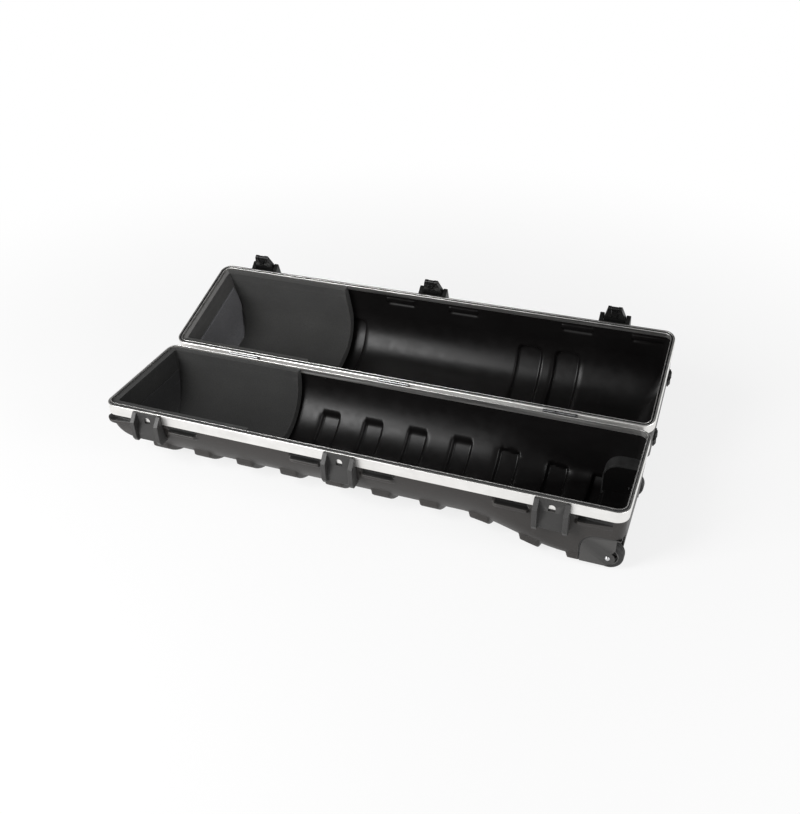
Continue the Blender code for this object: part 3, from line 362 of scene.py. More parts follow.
def textured_plastic(name, dark, light, worn, low_rough, high_rough):
    """Moulded sheet with a fine leather grain, faint clouding and paler worn edges."""
    finish = Finish(name, low_rough)
    cloud = finish.noise(7.0, 5.0, 0.6)
    speckle = finish.noise(420.0, 2.0)
    base = finish.colour(cloud, [(0.35, dark), (0.65, light)])
    base = finish.mixed(finish.ranged(speckle, 0.55, 0.8, 0.0, 0.35), base, worn)
    scuffs = finish.noise(60.0, 6.0, 0.7, (0.25, 1.0, 1.0))
    base = finish.mixed(finish.ranged(scuffs, 0.62, 0.74, 0.0, 0.30), base, worn)
    base = finish.mixed(finish.edges(0.52, 0.60), base, worn)
    finish.bump(finish.cells(950.0), 0.35, 0.00025)
    finish.bump(finish.noise(260.0, 3.0), 0.25, 0.0004)
    return finish.done(base, finish.ranged(cloud, 0.3, 0.7, low_rough, high_rough), Specular_IOR_Level=0.40)


def smooth_plastic(name, dark, light, low_rough, high_rough, wave):
    """Smooth side of a formed sheet: dark, half glossy, with a slow drawn waviness."""
    finish = Finish(name, low_rough)
    cloud = finish.noise(5.0, 4.0, 0.6)
    haze = finish.noise(38.0, 6.0, 0.65)
    scratch = finish.noise(30.0, 4.0, 0.7, (0.15, 6.0, 6.0))
    base = finish.colour(cloud, [(0.3, dark), (0.7, light)])
    base = finish.mixed(finish.ranged(scratch, 0.66, 0.72, 0.0, 0.15), base, scaled(light, 3))
    finish.bump(finish.noise(16.0, 2.0), 0.15, wave)
    finish.bump(finish.noise(700.0, 2.0), 0.10, 0.0002)
    return finish.done(base, finish.ranged(haze, 0.3, 0.7, low_rough, high_rough), Specular_IOR_Level=0.24)


def satin_aluminium(name):
    """Extruded rim: drawn along its length, with fine scratches and dull spots."""
    finish = Finish(name, 0.34, 1.0)
    drawn = finish.noise(140.0, 3.0, 0.6, (0.02, 1.0, 1.0))
    dull = finish.noise(22.0, 5.0, 0.65)
    scratch = finish.noise(90.0, 4.0, 0.75, (0.05, 2.0, 2.0))
    base = finish.colour(dull, [(0.3, (0.80, 0.79, 0.77)), (0.7, (0.90, 0.89, 0.87))])
    base = finish.mixed(finish.ranged(scratch, 0.68, 0.76, 0.0, 0.35), base, (0.55, 0.55, 0.54))
    finish.bump(drawn, 0.18, 0.0003)
    return finish.done(base, finish.ranged(drawn, 0.3, 0.7, 0.30, 0.46))


def plated_steel(name, shade=1.0):
    """Bright plating with duller patches; a shade below one makes it dark."""
    finish = Finish(name, 0.28, 1.0)
    dull = finish.noise(90.0, 4.0, 0.6)
    dark = scaled((0.52, 0.52, 0.53), shade)
    light = scaled((0.68, 0.68, 0.69), shade)
    base = finish.colour(dull, [(0.3, dark), (0.7, light)])
    finish.bump(finish.noise(600.0, 2.0), 0.08, 0.0002)
    return finish.done(base, finish.ranged(dull, 0.3, 0.7, 0.22, 0.40))


def cell_foam(name, dark, light):
    """Cut foam, charcoal to grey: open cells, faint clouding, a soft sheen, and convex edges lightened as a
    painted highlight.
    """
    finish = Finish(name, 0.95)
    cloud = finish.noise(9.0, 4.0, 0.6)
    cell = finish.cells(620.0)
    base = finish.colour(cloud, [(0.3, dark), (0.7, light)])
    base = finish.mixed(finish.ranged(cell, 0.1, 0.6, 0.0, 0.55), base, scaled(dark, 0.35))
    # Painted highlight: convex edges are lightened as if they catch the light.
    base = finish.mixed(finish.edges(0.505, 0.56), base, scaled(light, 1.25))
    finish.bump(cell, 0.8, 0.0006)
    finish.bump(finish.noise(190.0, 3.0), 0.35, 0.0008)
    return finish.done(base, Sheen_Weight=0.08, Sheen_Roughness=0.6)


def rubber(name, dark, light):
    """Moulded rubber: matt, faintly clouded, with a fine grain."""
    finish = Finish(name, 0.7)
    cloud = finish.noise(60.0, 5.0, 0.65)
    base = finish.colour(cloud, [(0.3, dark), (0.7, light)])
    finish.bump(finish.noise(900.0, 2.0), 0.25, 0.0003)
    return finish.done(base, finish.ranged(cloud, 0.3, 0.7, 0.55, 0.80))


MATERIALS = {
    "shell_outside": textured_plastic("shell outside", (0.0208, 0.0186, 0.0172), (0.0285, 0.0256, 0.0238),
                                      (0.062, 0.057, 0.053), 0.42, 0.56),
    "shell_inside": smooth_plastic("shell inside", (0.0040, 0.0036, 0.0036), (0.0060, 0.0055, 0.0055),
                                   0.30, 0.40, 0.0006),
    # Painted shade: a darker copy of the shell's outside plastic for the ledge grooves, where shade falls.
    "painted_groove_shade": textured_plastic("shell recess", (0.0050, 0.0048, 0.0046), (0.0080, 0.0077, 0.0074),
                               (0.018, 0.0174, 0.017), 0.36, 0.46),
    "fitting": textured_plastic("moulded fitting", (0.0250, 0.0243, 0.0238), (0.0330, 0.0322, 0.0315),
                                (0.062, 0.0605, 0.059), 0.42, 0.56),
    "latch": smooth_plastic("latch plastic", (0.0050, 0.0050, 0.0050), (0.0085, 0.0085, 0.0085),
                            0.30, 0.42, 0.0001),
    "rim": satin_aluminium("satin aluminium"),
    "steel": plated_steel("plated steel"),
    # Painted shade: the base's foam is darker than the lid's because the base's inside lies in shade.
    "base_foam": cell_foam("foam darkened as painted shade", (0.018, 0.018, 0.0175), (0.028, 0.028, 0.027)),
    "lid_foam": cell_foam("dark grey foam", (0.029, 0.0288, 0.0278), (0.042, 0.0416, 0.0400)),
    # Painted light: the lid's end sheet is lighter than the lid's other foam, as if lit from the side.
    "lid_end_foam_painted_light": cell_foam("end foam lightened as painted light", (0.092, 0.090, 0.088), (0.118, 0.116, 0.113)),
    # Painted shade and light: the base's panel is darkened as painted shade; the lid's panel is bluish, a
    # real tone, and lightened further as painted light.
    "base_panel": cell_foam("panel darkened as painted shade", (0.020, 0.020, 0.021), (0.030, 0.030, 0.031)),
    "lid_panel": cell_foam("bluish panel partly lightened as painted light", (0.172, 0.172, 0.181), (0.208, 0.208, 0.219)),
    "hinge": plated_steel("dark steel", 0.35),
    "rubber": rubber("black rubber", (0.012, 0.012, 0.012), (0.024, 0.024, 0.024)),
    "wheel": textured_plastic("wheel plastic", (0.052, 0.051, 0.050), (0.068, 0.067, 0.066),
                              (0.110, 0.108, 0.106), 0.40, 0.52),
}


# Pieces

def from_bmesh(name, builder):
    mesh = bpy.data.meshes.new(name)
    builder.to_mesh(mesh)
    builder.free()
    return new_object(name, mesh)


def finished(item, body, finishes, replaces=(), sharp=40.0):
    """Give a new piece its finishes and body, and hide the solids it stands for."""
    numbers = [face.material_index for face in item.data.polygons]
    item.data.materials.clear()
    for finish in finishes:
        item.data.materials.append(MATERIALS[finish])
    item.data.polygons.foreach_set("material_index", numbers)
    item.data.shade_smooth()
    item.data.set_sharp_from_angle(angle=math.radians(sharp))
    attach(item, body)
    if replaces:
        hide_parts(*replaces)


def bevelled(item, width, segments, angle):
    """Round the edges that are sharper than an angle."""
    bevel = item.modifiers.new("edges", "BEVEL")
    bevel.width = width
    bevel.segments = segments
    bevel.limit_method = "ANGLE"
    bevel.angle_limit = math.radians(angle)
    bevel.use_clamp_overlap = True
    normals = item.modifiers.new("normals", "WEIGHTED_NORMAL")
    normals.keep_sharp = True


def baked(item):
    """Turn an object's modifiers into its mesh."""
    graph = bpy.context.evaluated_depsgraph_get()
    mesh = bpy.data.meshes.new_from_object(item.evaluated_get(graph))
    item.modifiers.clear()
    item.data = mesh


def solid_node(name, finish, width):
    """A solid whose shape is right: it keeps its place and gets a finish and soft edges."""
    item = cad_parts[name]
    mesh = item.data
    if "custom_normal" in mesh.attributes:
        mesh.attributes.remove(mesh.attributes["custom_normal"])
    mesh.materials.clear()
    mesh.materials.append(MATERIALS[finish])
    weld = item.modifiers.new("weld", "WELD")
    weld.merge_threshold = SOLID_WELD
    flat = item.modifiers.new("flat faces", "DECIMATE")
    flat.decimate_type = "DISSOLVE"
    flat.angle_limit = math.radians(1.5)
    mesh.shade_smooth()
    bevelled(item, width, 2, 28.0)
    return item


def closed(name, builder, place):
    """New piece from a closed mesh, with its faces turned outward, moved to its place."""
    bmesh.ops.recalc_face_normals(builder, faces=builder.faces)
    bmesh.ops.transform(builder, matrix=place, verts=builder.verts)
    return from_bmesh(name, builder)


def band(builder, first, second):
    """Faces between two rings of as many points."""
    faces = []
    for i in range(len(first)):
        j = (i + 1) % len(first)
        faces.append(builder.faces.new((first[i], second[i], second[j], first[j])))
    return faces


def ease(value, start, end):
    """Smooth step from none at the start to one at the end."""
    share = min(max((value - start) / (end - start), 0.0), 1.0)
    return share * share * (3.0 - 2.0 * share)


def plateau(value, rise, top_from, top_to, fall):
    return ease(value, rise, top_from) * (1.0 - ease(value, top_to, fall))


# Hull of the two trays

def wall_draft(depth, full_depth):
    return WALL_DRAFT * min(max(depth - RIM_BAND, 0.0) / (full_depth - RIM_BAND), 1.0)


class Tray:
    """Rounded tray with moulded ribs and bumper ledges, read at any inset from its outside."""

    def __init__(self, depth, side_radius, end_sizes, squared, ribs, rib_start, rib_corner, wraps):
        self.depth = depth
        self.side_radius = side_radius
        self.head_rise, self.head_radius, self.wheel_radius = end_sizes
        self.squared = squared
        self.ribs = ribs
        self.rib_start = rib_start
        self.rib_corner = rib_corner
        self.wraps = wraps
        self.last_depth = 0.0
        self.ledges = []
        for x in LATCH_PLACES.values():
            for sign in (-1.0, 1.0):
                low, high = sorted((x + sign * BAR_INNER, x + sign * BAR_OUTER))
                if low < -BAR_LIMIT:
                    low = -HALF_LENGTH if wraps else -BAR_LIMIT
                self.ledges.append((low, min(high, BAR_LIMIT)))

    def radius_at(self, x):
        share = ease(x, SQUARE_FROM, SQUARE_TO) if self.squared else 0.0
        return self.side_radius + (self.wheel_radius - self.side_radius) * share

    def rib_share(self, x, angle, own):
        """One inside a rib's rounded outline, none outside it, with sloped shoulders."""
        best = 0.0
        for rib, width in self.ribs:
            if abs(x - rib) > width / 2 + RIB_CHAMFER:
                continue
            corner = self.rib_corner
            aside = abs(x - rib) - width / 2 + corner
            above = own * (self.rib_start - angle) + corner
            outside = math.hypot(max(aside, 0.0), max(above, 0.0)) + min(max(aside, above), 0.0) - corner
            best = max(best, 1.0 - ease(outside, 0.0, RIB_CHAMFER))
        return best

    def ledge_share(self, kind, value):
        if kind == "head":
            return ease(value, 0.0, LEDGE_TURN) if self.wraps else 0.0
        if kind != "side":
            return 0.0
        return max(plateau(value, low, low + BAR_SLANT, high - BAR_SLANT, high) for low, high in self.ledges)

    def in_groove(self, column, depth):
        return self.ledge_share(*column) > 0.5 and GROOVE_DEPTHS[0] <= depth < GROOVE_END

    def lift(self, kind, value, depth, angle, own, front, inset):
        """Height of the ribs and ledges over the plain tray; ledges are shallower inside."""
        lift = 0.0
        if kind == "side":
            lift += RIB_HEIGHT * self.rib_share(value, angle, own)
        if front and GROOVE_DEPTHS[0] < depth < BAR_DEPTHS[3]:
            share = self.ledge_share(kind, value) * (LEDGE_INSIDE if inset else 1.0)
            lift += share * BAR_PROUD * plateau(depth, *BAR_DEPTHS)
            lift -= share * GROOVE_INWARD * plateau(depth, *GROOVE_DEPTHS)
        return lift

    def point(self, column, way, inset, front, plain=False):
        """Point (x, y, depth) of a column at a way down its profile, mirrored for the rear half.

        A plain point leaves out the ribs and ledges.
        """
        kind, value = column
        at_head = kind.startswith("head")
        end_radius = self.head_radius if at_head else self.wheel_radius
        end_rise = self.head_rise if at_head else self.wheel_radius
        beside = value if kind == "side" else math.copysign(HALF_LENGTH, -1.0 if at_head else 1.0)
        side_radius = self.radius_at(beside)
        share = value / 90.0 if kind in ("head", "wheel") else 0.0
        own = side_radius if kind == "side" else end_rise + (side_radius - end_rise) * share
        wall = self.depth - own
        run = self.way_down(own, way)
        angle = max(run - wall, 0.0) / own
        depth = min(run, wall)
        reached = wall + own * math.sin(angle) if angle else depth
        lift = 0.0 if plain else self.lift(kind, value, reached, angle, own, front, inset)
        if angle:
            depth = wall + (own - inset + lift) * math.sin(angle)
        draft = SHELL_INSET + wall_draft(depth, self.depth)

        def drawn_in(radius):
            return draft + radius - (radius - inset + lift) * math.cos(angle)

        half_width = HALF_WIDTH - drawn_in(side_radius)
        side = -1.0 if front else 1.0
        if kind == "side":
            return value, side * half_width, depth
        half_length = HALF_LENGTH - drawn_in(end_radius)
        if kind.endswith("middle"):
            return math.copysign(half_length, beside), 0.0, depth
        growth = CORNER_GROWTH * (drawn_in(end_radius) - draft - inset)
        corner = max(CORNER_RADIUS - SHELL_INSET - inset + growth, CORNER_MINIMUM)
        corner = min(corner, CORNER_LIMIT * half_width)
        turn = math.radians(value)
        along = half_length - corner + corner * math.cos(turn)
        return math.copysign(along, beside), side * (half_width - corner + corner * math.sin(turn)), depth

    def way_down(self, own, way):
        """Length down the profile: a fixed depth, or a share of what is left below the last depth."""
        wall = self.depth - own

        def run_at(depth):
            if depth <= wall:
                return depth
            return wall + own * math.asin(min((depth - wall) / own, 1.0))

        kind, value = way
        if kind == "depth":
            return run_at(value)
        start = run_at(self.last_depth)
        return start + (wall + own * math.pi / 2 - start) * value

    def columns(self, stations):
        """Columns of one half, from the middle of the head end to the middle of the wheel end."""
        quarter = [90.0 * i / CORNER_STEPS for i in range(CORNER_STEPS + 1)]
        head = [("head", angle) for angle in quarter]
        side = [("side", x) for x in stations]
        wheel = [("wheel", angle) for angle in reversed(quarter)]
        return [("head_middle", 0.0)] + head + side + wheel + [("wheel_middle", 0.0)]

    def ways(self, depths, steps):
        """Ways down a profile: the given depths, then even steps to the foot of the rounded edge."""
        self.last_depth = depths[-1]
        return [("depth", d) for d in depths] + [("share", (i + 1) / steps) for i in range(steps)]


def spread(low, high, step):
    count = max(1, math.ceil((high - low) / step))
    return [low + (high - low) * i / count for i in range(count + 1)]


def stations(tray, low, high):
    """Places along a tray's side: an even spread, closer together at ribs and ledge ends."""
    places = set(round(x, 5) for x in spread(low, high, STATION_STEP))
    for rib, width in tray.ribs:
        for sign in (-1.0, 1.0):
            edge = rib + sign * width / 2
            for step in RIB_STATIONS:
                places.add(round(edge + sign * step * RIB_CHAMFER, 5))
    for first, last in tray.ledges:
        for edge, sign in ((first, 1.0), (last, -1.0)):
            for step in LEDGE_STATIONS:
                places.add(round(edge + sign * step * BAR_SLANT, 5))
    ordered = sorted(x for x in places if low <= x <= high)
    kept = [ordered[0]]
    for x in ordered[1:]:
        if x - kept[-1] > STATION_MINIMUM:
            kept.append(x)
    return kept


def sheet_faces(builder, rows, flip, slot=0):
    """Faces of a sheet of rows, by level and place, without those that have shrunk to a line."""
    faces = {}
    for level, (upper, lower) in enumerate(zip(rows, rows[1:])):
        for i in range(len(upper) - 1):
            corners = []
            for vertex in (upper[i], lower[i], lower[i + 1], upper[i + 1]):
                if all((vertex.co - other.co).length > SAME_POINT for other in corners):
                    corners.append(vertex)
            if len(corners) > 2:
                face = builder.faces.new(reversed(corners) if flip else corners)
                face.material_index = slot
                faces[level, i] = face
    return faces


def base_place(x, y, depth):
    return x, y, RIM_HEIGHT - depth


def lid_place(x, y, depth):
    return x, y, LID_RIM_Z + depth


BASE_TRAY = Tray(BASE_DEPTH, BASE_EDGE_RADIUS, (HEAD_END_RISE, HEAD_END_RADIUS, WHEEL_END_RADIUS), True,
                 BASE_RIBS, BASE_RIB_START, BASE_RIB_CORNER, True)
LID_TRAY = Tray(LID_DEPTH, LID_EDGE_RADIUS, (LID_END_RADIUS,) * 3, False,
                LID_RIBS, LID_RIB_START, LID_RIB_CORNER, False)

# Each half's tray, the function that places its points, and whether that turns faces over
SIDES = {"base": (BASE_TRAY, base_place, False), "lid": (LID_TRAY, lid_place, True)}


def make_shell(name, body, top, span, steps):
    """Formed sheet with its textured outside, its smooth inside, and painted shade on the front's ledge
    grooves.
    """
    tray, place, flip = SIDES[body]
    columns = tray.columns(stations(tray, *span))
    ways = tray.ways([top] + WALL_DEPTHS, steps)
    builder = bmesh.new()
    for front in (True, False):
        turned_over = flip == front
        skins = []
        for inset in (0.0, SHELL_WALL):
            rows = [[tray.point(c, way, inset, front) for c in columns] for way in ways]
            rows.append([(x, 0.0, depth) for x, _, depth in rows[-1]])
            skins.append([[builder.verts.new(place(*point)) for point in row] for row in rows])
        outer, inner = skins
        outside = sheet_faces(builder, outer, turned_over, 0)
        sheet_faces(builder, inner, not turned_over, 1)
        sheet_faces(builder, [inner[0], outer[0]], turned_over, 0)
        # Painted shade: outside faces in the ledge grooves take the darker groove finish.
        for (level, i), face in outside.items():
            if front and ways[level][0] == "depth" and tray.in_groove(columns[i], ways[level][1]):
                face.material_index = 2
    bmesh.ops.remove_doubles(builder, verts=builder.verts, dist=MERGE_DISTANCE)
    return closed(name, builder, PLACES[body])


def prism(name, outline, low, high, place):
    """Outline in (x, z) with thickness along Y."""
    builder = bmesh.new()
    near = [builder.verts.new((x, low, z)) for x, z in outline]
    far = [builder.verts.new((x, high, z)) for x, z in outline]
    builder.faces.new(near)
    builder.faces.new(list(reversed(far)))
    for i in range(len(outline)):
        j = (i + 1) % len(outline)
        builder.faces.new((near[j], near[i], far[i], far[j]))
    return closed(name, builder, place)


def arc(centre, radius, start, end, steps):
    """Points of an arc between two angles in degrees."""
    angles = [math.radians(start + (end - start) * i / steps) for i in range(steps + 1)]
    return [(centre[0] + radius * math.cos(a), centre[1] + radius * math.sin(a)) for a in angles]


def cut_away(item, cutter):
    """Cut one object out of another and remove it."""
    modifier = item.modifiers.new(cutter.name, "BOOLEAN")
    modifier.operation = "DIFFERENCE"
    modifier.solver = "EXACT"
    modifier.object = cutter
    baked(item)
    bpy.data.objects.remove(cutter)


# The third finish is the painted shade of the ledge grooves.
SHELL_FINISHES = ["shell_outside", "shell_inside", "painted_groove_shade"]


def make_shells():
    base = make_shell("base_shell_formed", "base", RIM_WEB + FIT_GAP, BASE_SPAN, BASE_STEPS)
    outline = [(HOUSING_LEFT - HOUSING_GAP, OPENING_BOTTOM), (OPENING_END, OPENING_BOTTOM),
               (OPENING_END, HOUSING_TOP + HOUSING_GAP)]
    outline += arc(HOUSING_CENTRE, HOUSING_CORNER + HOUSING_GAP, 90.0, 180.0, SEAL_STEPS)
    for _, side in WHEEL_SIDES:
        low, high = sorted((side * (HOUSING_BACK - FIT_GAP), side * CASE_WIDTH))
        cut_away(base, prism("wheel_opening", outline, low, high, SHIFT))
    finished(base, "base", SHELL_FINISHES, ["base_shell"])
    lid = make_shell("lid_shell_formed", "lid", LID_WEB + FIT_GAP, LID_SPAN, LID_STEPS)
    finished(lid, "lid", SHELL_FINISHES, ["lid_shell"])


def hull_edge(x, z):
    """How far the base's outside reaches from the middle plane at a place and height."""
    at_end, beside = [BASE_TRAY.point(("wheel", angle), ("depth", RIM_HEIGHT - HOUSING_TOP), 0.0, True)
                      for angle in (0.0, 90.0)]
    if x > beside[0]:
        radius = at_end[0] - beside[0]
        return -at_end[1] + math.sqrt(max(radius ** 2 - (x - beside[0]) ** 2, 0.0))
    profile = [BASE_TRAY.point(("side", x), way, 0.0, True) for way in BASE_TRAY.ways(WALL_DEPTHS, 40)]
    for (_, high_y, high), (_, low_y, low) in zip(profile, profile[1:]):
        if high <= RIM_HEIGHT - z < low:
            share = (RIM_HEIGHT - z - high) / (low - high)
            return -(high_y + (low_y - high_y) * share)
    return -profile[-1][1]


def make_seals():
    """Black strips that close the gap between the base shell and each wheel housing."""
    sill = HOUSING_BOTTOM - FIT_GAP
    edges = []
    for gap in (HOUSING_GAP, FIT_GAP):
        rise = (HOUSING_CENTRE[1] - sill) / SEAL_STEPS
        edge = [(HOUSING_LEFT - gap, sill + rise * i) for i in range(SEAL_STEPS)]
        edge += arc(HOUSING_CENTRE, HOUSING_CORNER + gap, 180.0, 90.0, SEAL_STEPS)
        edges.append(edge + [(x, HOUSING_TOP + gap) for x in SEAL_END_PLACES])
    foot = [((HOUSING_LEFT - HOUSING_GAP, z), (HOUSING_LEFT + SEAL_FOOT, z))
            for z in (*SEAL_FOOT_LEVELS, sill - SEAL_FOOT_GAP)]
    for name, side in WHEEL_SIDES:
        builder = bmesh.new()
        sections = []
        for pair in foot + list(zip(*edges)):
            section = []
            for (x, z), outward in zip(pair + pair[::-1], (True, True, False, False)):
                reach = HOUSING_BACK
                if outward:
                    reach = min(hull_edge(x, z) - SEAL_BEHIND_HULL, CHEEK_FACE + SEAL_PROUD)
                section.append(builder.verts.new((x, side * reach, z)))
            sections.append(section)
        for first, second in zip(sections, sections[1:]):
            for i in range(4):
                j = (i + 1) % 4
                builder.faces.new((first[i], first[j], second[j], second[i]))
        builder.faces.new(sections[0])
        builder.faces.new(sections[-1][::-1])
        finished(closed(f"wheel_seal_{name}", builder, SHIFT), "base", ["rubber"])


# Aluminium rims

def make_rim(name, body, profile, shaded_sides, node):
    """Rim extrusion: a closed profile of (inset, height) carried round the plan outline.

    The sides given by number line the rim's grooves; they take the black rubber finish as painted shade.
    """
    quarter = [math.radians(90.0 * i / RIM_CORNER_STEPS) for i in range(RIM_CORNER_STEPS + 1)]
    along = HALF_LENGTH - CORNER_RADIUS
    aside = HALF_WIDTH - CORNER_RADIUS
    builder = bmesh.new()
    rows = []
    for inset, height in profile:
        radius = CORNER_RADIUS - inset
        plan = [(-along - radius * math.cos(a), -aside - radius * math.sin(a)) for a in quarter]
        plan += [(-x, y) for x, y in reversed(plan)]
        plan += [(-x, -y) for x, y in plan]
        rows.append([builder.verts.new((x, y, height)) for x, y in plan])
    for number, (first, second) in enumerate(zip(rows, rows[1:] + rows[:1])):
        for face in band(builder, first, second):
            # Groove sides get the black rubber finish as painted shade.
            face.material_index = 1 if number in shaded_sides else 0
    item = closed(name, builder, PLACES[body])
    finished(item, body, ["rim", "rubber"], [node])
    bevelled(item, RIM_EDGE, 2, 50.0)


def make_rims():
    inner = RIM_METAL + SHELL_WALL + 2 * FIT_GAP
    tongue = inner + RIM_METAL
    top = RIM_HEIGHT
    seat = top - RIM_METAL / 2
    step = inner - GROOVE_PLAY - RIM_METAL / 2
    make_rim("base_rim_extrusion", "base", [
        (0.0, top), (0.0, top - RIM_BAND), (RIM_METAL, top - RIM_BAND), (RIM_METAL, top - RIM_WEB),
        (inner, top - RIM_WEB), (inner, top - RIM_LEG), (tongue, top - RIM_LEG),
        (tongue, top + TONGUE_HEIGHT), (tongue - TONGUE_WIDTH, top + TONGUE_HEIGHT),
        (tongue - TONGUE_WIDTH, seat), (step, seat), (step, top),
    ], BASE_GROOVE_SHADE, "base_rim")
    low = LID_RIM_Z
    groove_top = RIM_HEIGHT + TONGUE_HEIGHT + GROOVE_PLAY
    web = low + LID_WEB
    lip = tongue + GROOVE_PLAY
    land = tongue - TONGUE_WIDTH - GROOVE_PLAY
    rounding = [(RIM_ROUND * across, low + RIM_ROUND * up) for across, up in RIM_ROUNDING]
    make_rim("lid_rim_extrusion", "lid", [
        (0.0, low + RIM_BAND), (0.0, low + RIM_ROUND), *rounding, (RIM_ROUND, low),
        (land, low), (land, groove_top), (lip, groove_top), (lip, low),
        (lip + RIM_METAL, low), (lip + RIM_METAL, web), (tongue, web), (tongue, web + RIM_LEG),
        (inner, web + RIM_LEG), (inner, web), (RIM_METAL, web), (RIM_METAL, low + RIM_BAND),
    ], LID_GROOVE_SHADE, "lid_rim")


# Foam lining

END_COLUMNS = [("head_middle", 0.0)]
END_COLUMNS += [("head", angle) for angle in spread(0.0, END_SHEET_TURN, FOAM_TURN_STEP)]
WRAP_COLUMNS = [("head", angle) for angle in spread(WRAP_SHEET_TURN, 90.0, FOAM_TURN_STEP)]
WRAP_COLUMNS += [("side", x) for x in spread(-SIDE_LIMIT, FOAM_END, FOAM_STATION_STEP)]
FOAM_DEPTHS = {
    "base": (FOAM_BELOW_RIM, RIM_LEG + FIT_GAP),
    "lid": (LID_WEB + FIT_GAP, LID_WEB + RIM_LEG + FIT_GAP),
}
# The base's end sheet takes the darkened foam as painted shade, the lid's the lightened foam as painted
# light.
END_SHEET_FINISHES = {"base": "base_foam", "lid": "lid_end_foam_painted_light"}


def uneven(point, seed):
    """Push a point of a foam face by a fraction of a millimetre."""
    x, y, depth = point
    wave = noise.noise(Vector((x * WAVE_SCALE, y * WAVE_SCALE + len(seed), depth * WAVE_SCALE)))
    return x, y * (1.0 + WAVE_ACROSS * wave), depth + WAVE_DEEP * wave


def foam_faces(builder, layers, turned_over, end):
    """Faces and edges of one half of a foam sheet.

    The halves of an end sheet meet in their first column, those of a wrapped one in their last row.
    """
    outer, inner = layers
    sheet_faces(builder, outer, turned_over)
    sheet_faces(builder, inner, not turned_over)
    sheet_faces(builder, [inner[0], outer[0]], turned_over)
    sheet_faces(builder, [[row[-1] for row in inner], [row[-1] for row in outer]], turned_over)
    if end:
        sheet_faces(builder, [inner[-1], outer[-1]], not turned_over)
    else:
        sheet_faces(builder, [[row[0] for row in inner], [row[0] for row in outer]], not turned_over)


def foam_piece(name, body, builder, finish, replaces, edge):
    bmesh.ops.remove_doubles(builder, verts=builder.verts, dist=MERGE_DISTANCE)
    item = closed(name, builder, PLACES[body])
    finished(item, body, [finish], replaces)
    bevelled(item, edge, 3, 55.0)


def make_pad(name, body, columns, end, node, finish):
    """Cut foam sheet against the tray's inside; its faces are slightly uneven."""
    tray, place, flip = SIDES[body]
    depths = FOAM_DEPTHS[body]
    ways = tray.ways([depths[1] + PAD_BELOW_LEG], PAD_STEPS)
    top_ways = [("depth", depth) for depth in depths]
    behind_rim = SHELL_WALL + RIM_METAL + 2 * FIT_GAP + FOAM_GAP
    builder = bmesh.new()
    for front in (True, False):
        layers = []
        for thickness, top_thickness in ((0.0, 0.0), (FOAM_THICKNESS, FOAM_TOP_THICKNESS)):
            rows = [[tray.point(c, way, behind_rim + top_thickness, front, True) for c in columns]
                    for way in top_ways]
            inset = SHELL_WALL + FOAM_GAP + thickness
            rows += [[tray.point(c, way, inset, front, True) for c in columns] for way in ways]
            if end:
                corner_x = rows[-1][-1][0]
                rows.append([(corner_x, y, depth) for _, y, depth in rows[-1]])
            else:
                rows.append([(x, 0.0, depth) for x, _, depth in rows[-1]])
            if thickness:
                rows = [[uneven(point, name) for point in row] for row in rows]
            layers.append([[builder.verts.new(place(*point)) for point in row] for row in rows])
        foam_faces(builder, layers, flip == front, end)
    foam_piece(name, body, builder, finish, [node], PAD_EDGE)


def make_panel(name, body, finish):
    """Thin foam layer glued on an end sheet, from a level below the rim down to the floor."""
    tray, place, flip = SIDES[body]
    level, proud = PANEL_SIZES[body]
    builder = bmesh.new()
    for front in (True, False):
        layers = []
        for thickness in (FOAM_THICKNESS - PANEL_SUNK, FOAM_THICKNESS + proud):
            inset = SHELL_WALL + FOAM_GAP + thickness
            strips = []
            for column in END_COLUMNS:
                top = level + PANEL_FALL * (column[1] / END_SHEET_TURN) ** PANEL_FALL_POWER
                ways = tray.ways([top + step for step in PANEL_TOP_STEPS], PANEL_STEPS)
                strips.append([uneven(tray.point(column, way, inset, front, True), name) for way in ways])
            layers.append([[builder.verts.new(place(*point)) for point in row] for row in zip(*strips)])
        foam_faces(builder, layers, flip == front, True)
    foam_piece(name, body, builder, finish, (), PANEL_EDGE)


def make_foam():
    for body in SIDES:
        # The base's foam and panel are darkened as painted shade; the lid's end sheet and panel are
        # lightened as painted light.
        make_pad(f"{body}_foam_end_pad", body, END_COLUMNS, True, f"{body}_foam_end",
                 END_SHEET_FINISHES[body])
        make_pad(f"{body}_foam_wrap_pad", body, WRAP_COLUMNS, False, f"{body}_foam_wrap", f"{body}_foam")
        make_panel(f"{body}_foam_panel", body, f"{body}_panel")


# Wheels

def make_turned(name, profile, centre, steps):
    """Turned piece about a line along Y from (radius, offset) points of a closed profile."""
    turns = [2.0 * math.pi * i / steps for i in range(steps)]
    builder = bmesh.new()
    rings = []
    for radius, offset in profile:
        y = centre[1] + offset
        ring = [(centre[0] + radius * math.cos(a), y, centre[2] + radius * math.sin(a)) for a in turns]
        rings.append([builder.verts.new(point) for point in ring])
    for first, second in zip(rings, rings[1:] + rings[:1]):
        band(builder, first, second)
    return closed(name, builder, SHIFT)


def mirrored(profile):
    return profile + [(radius, -offset) for radius, offset in reversed(profile)]


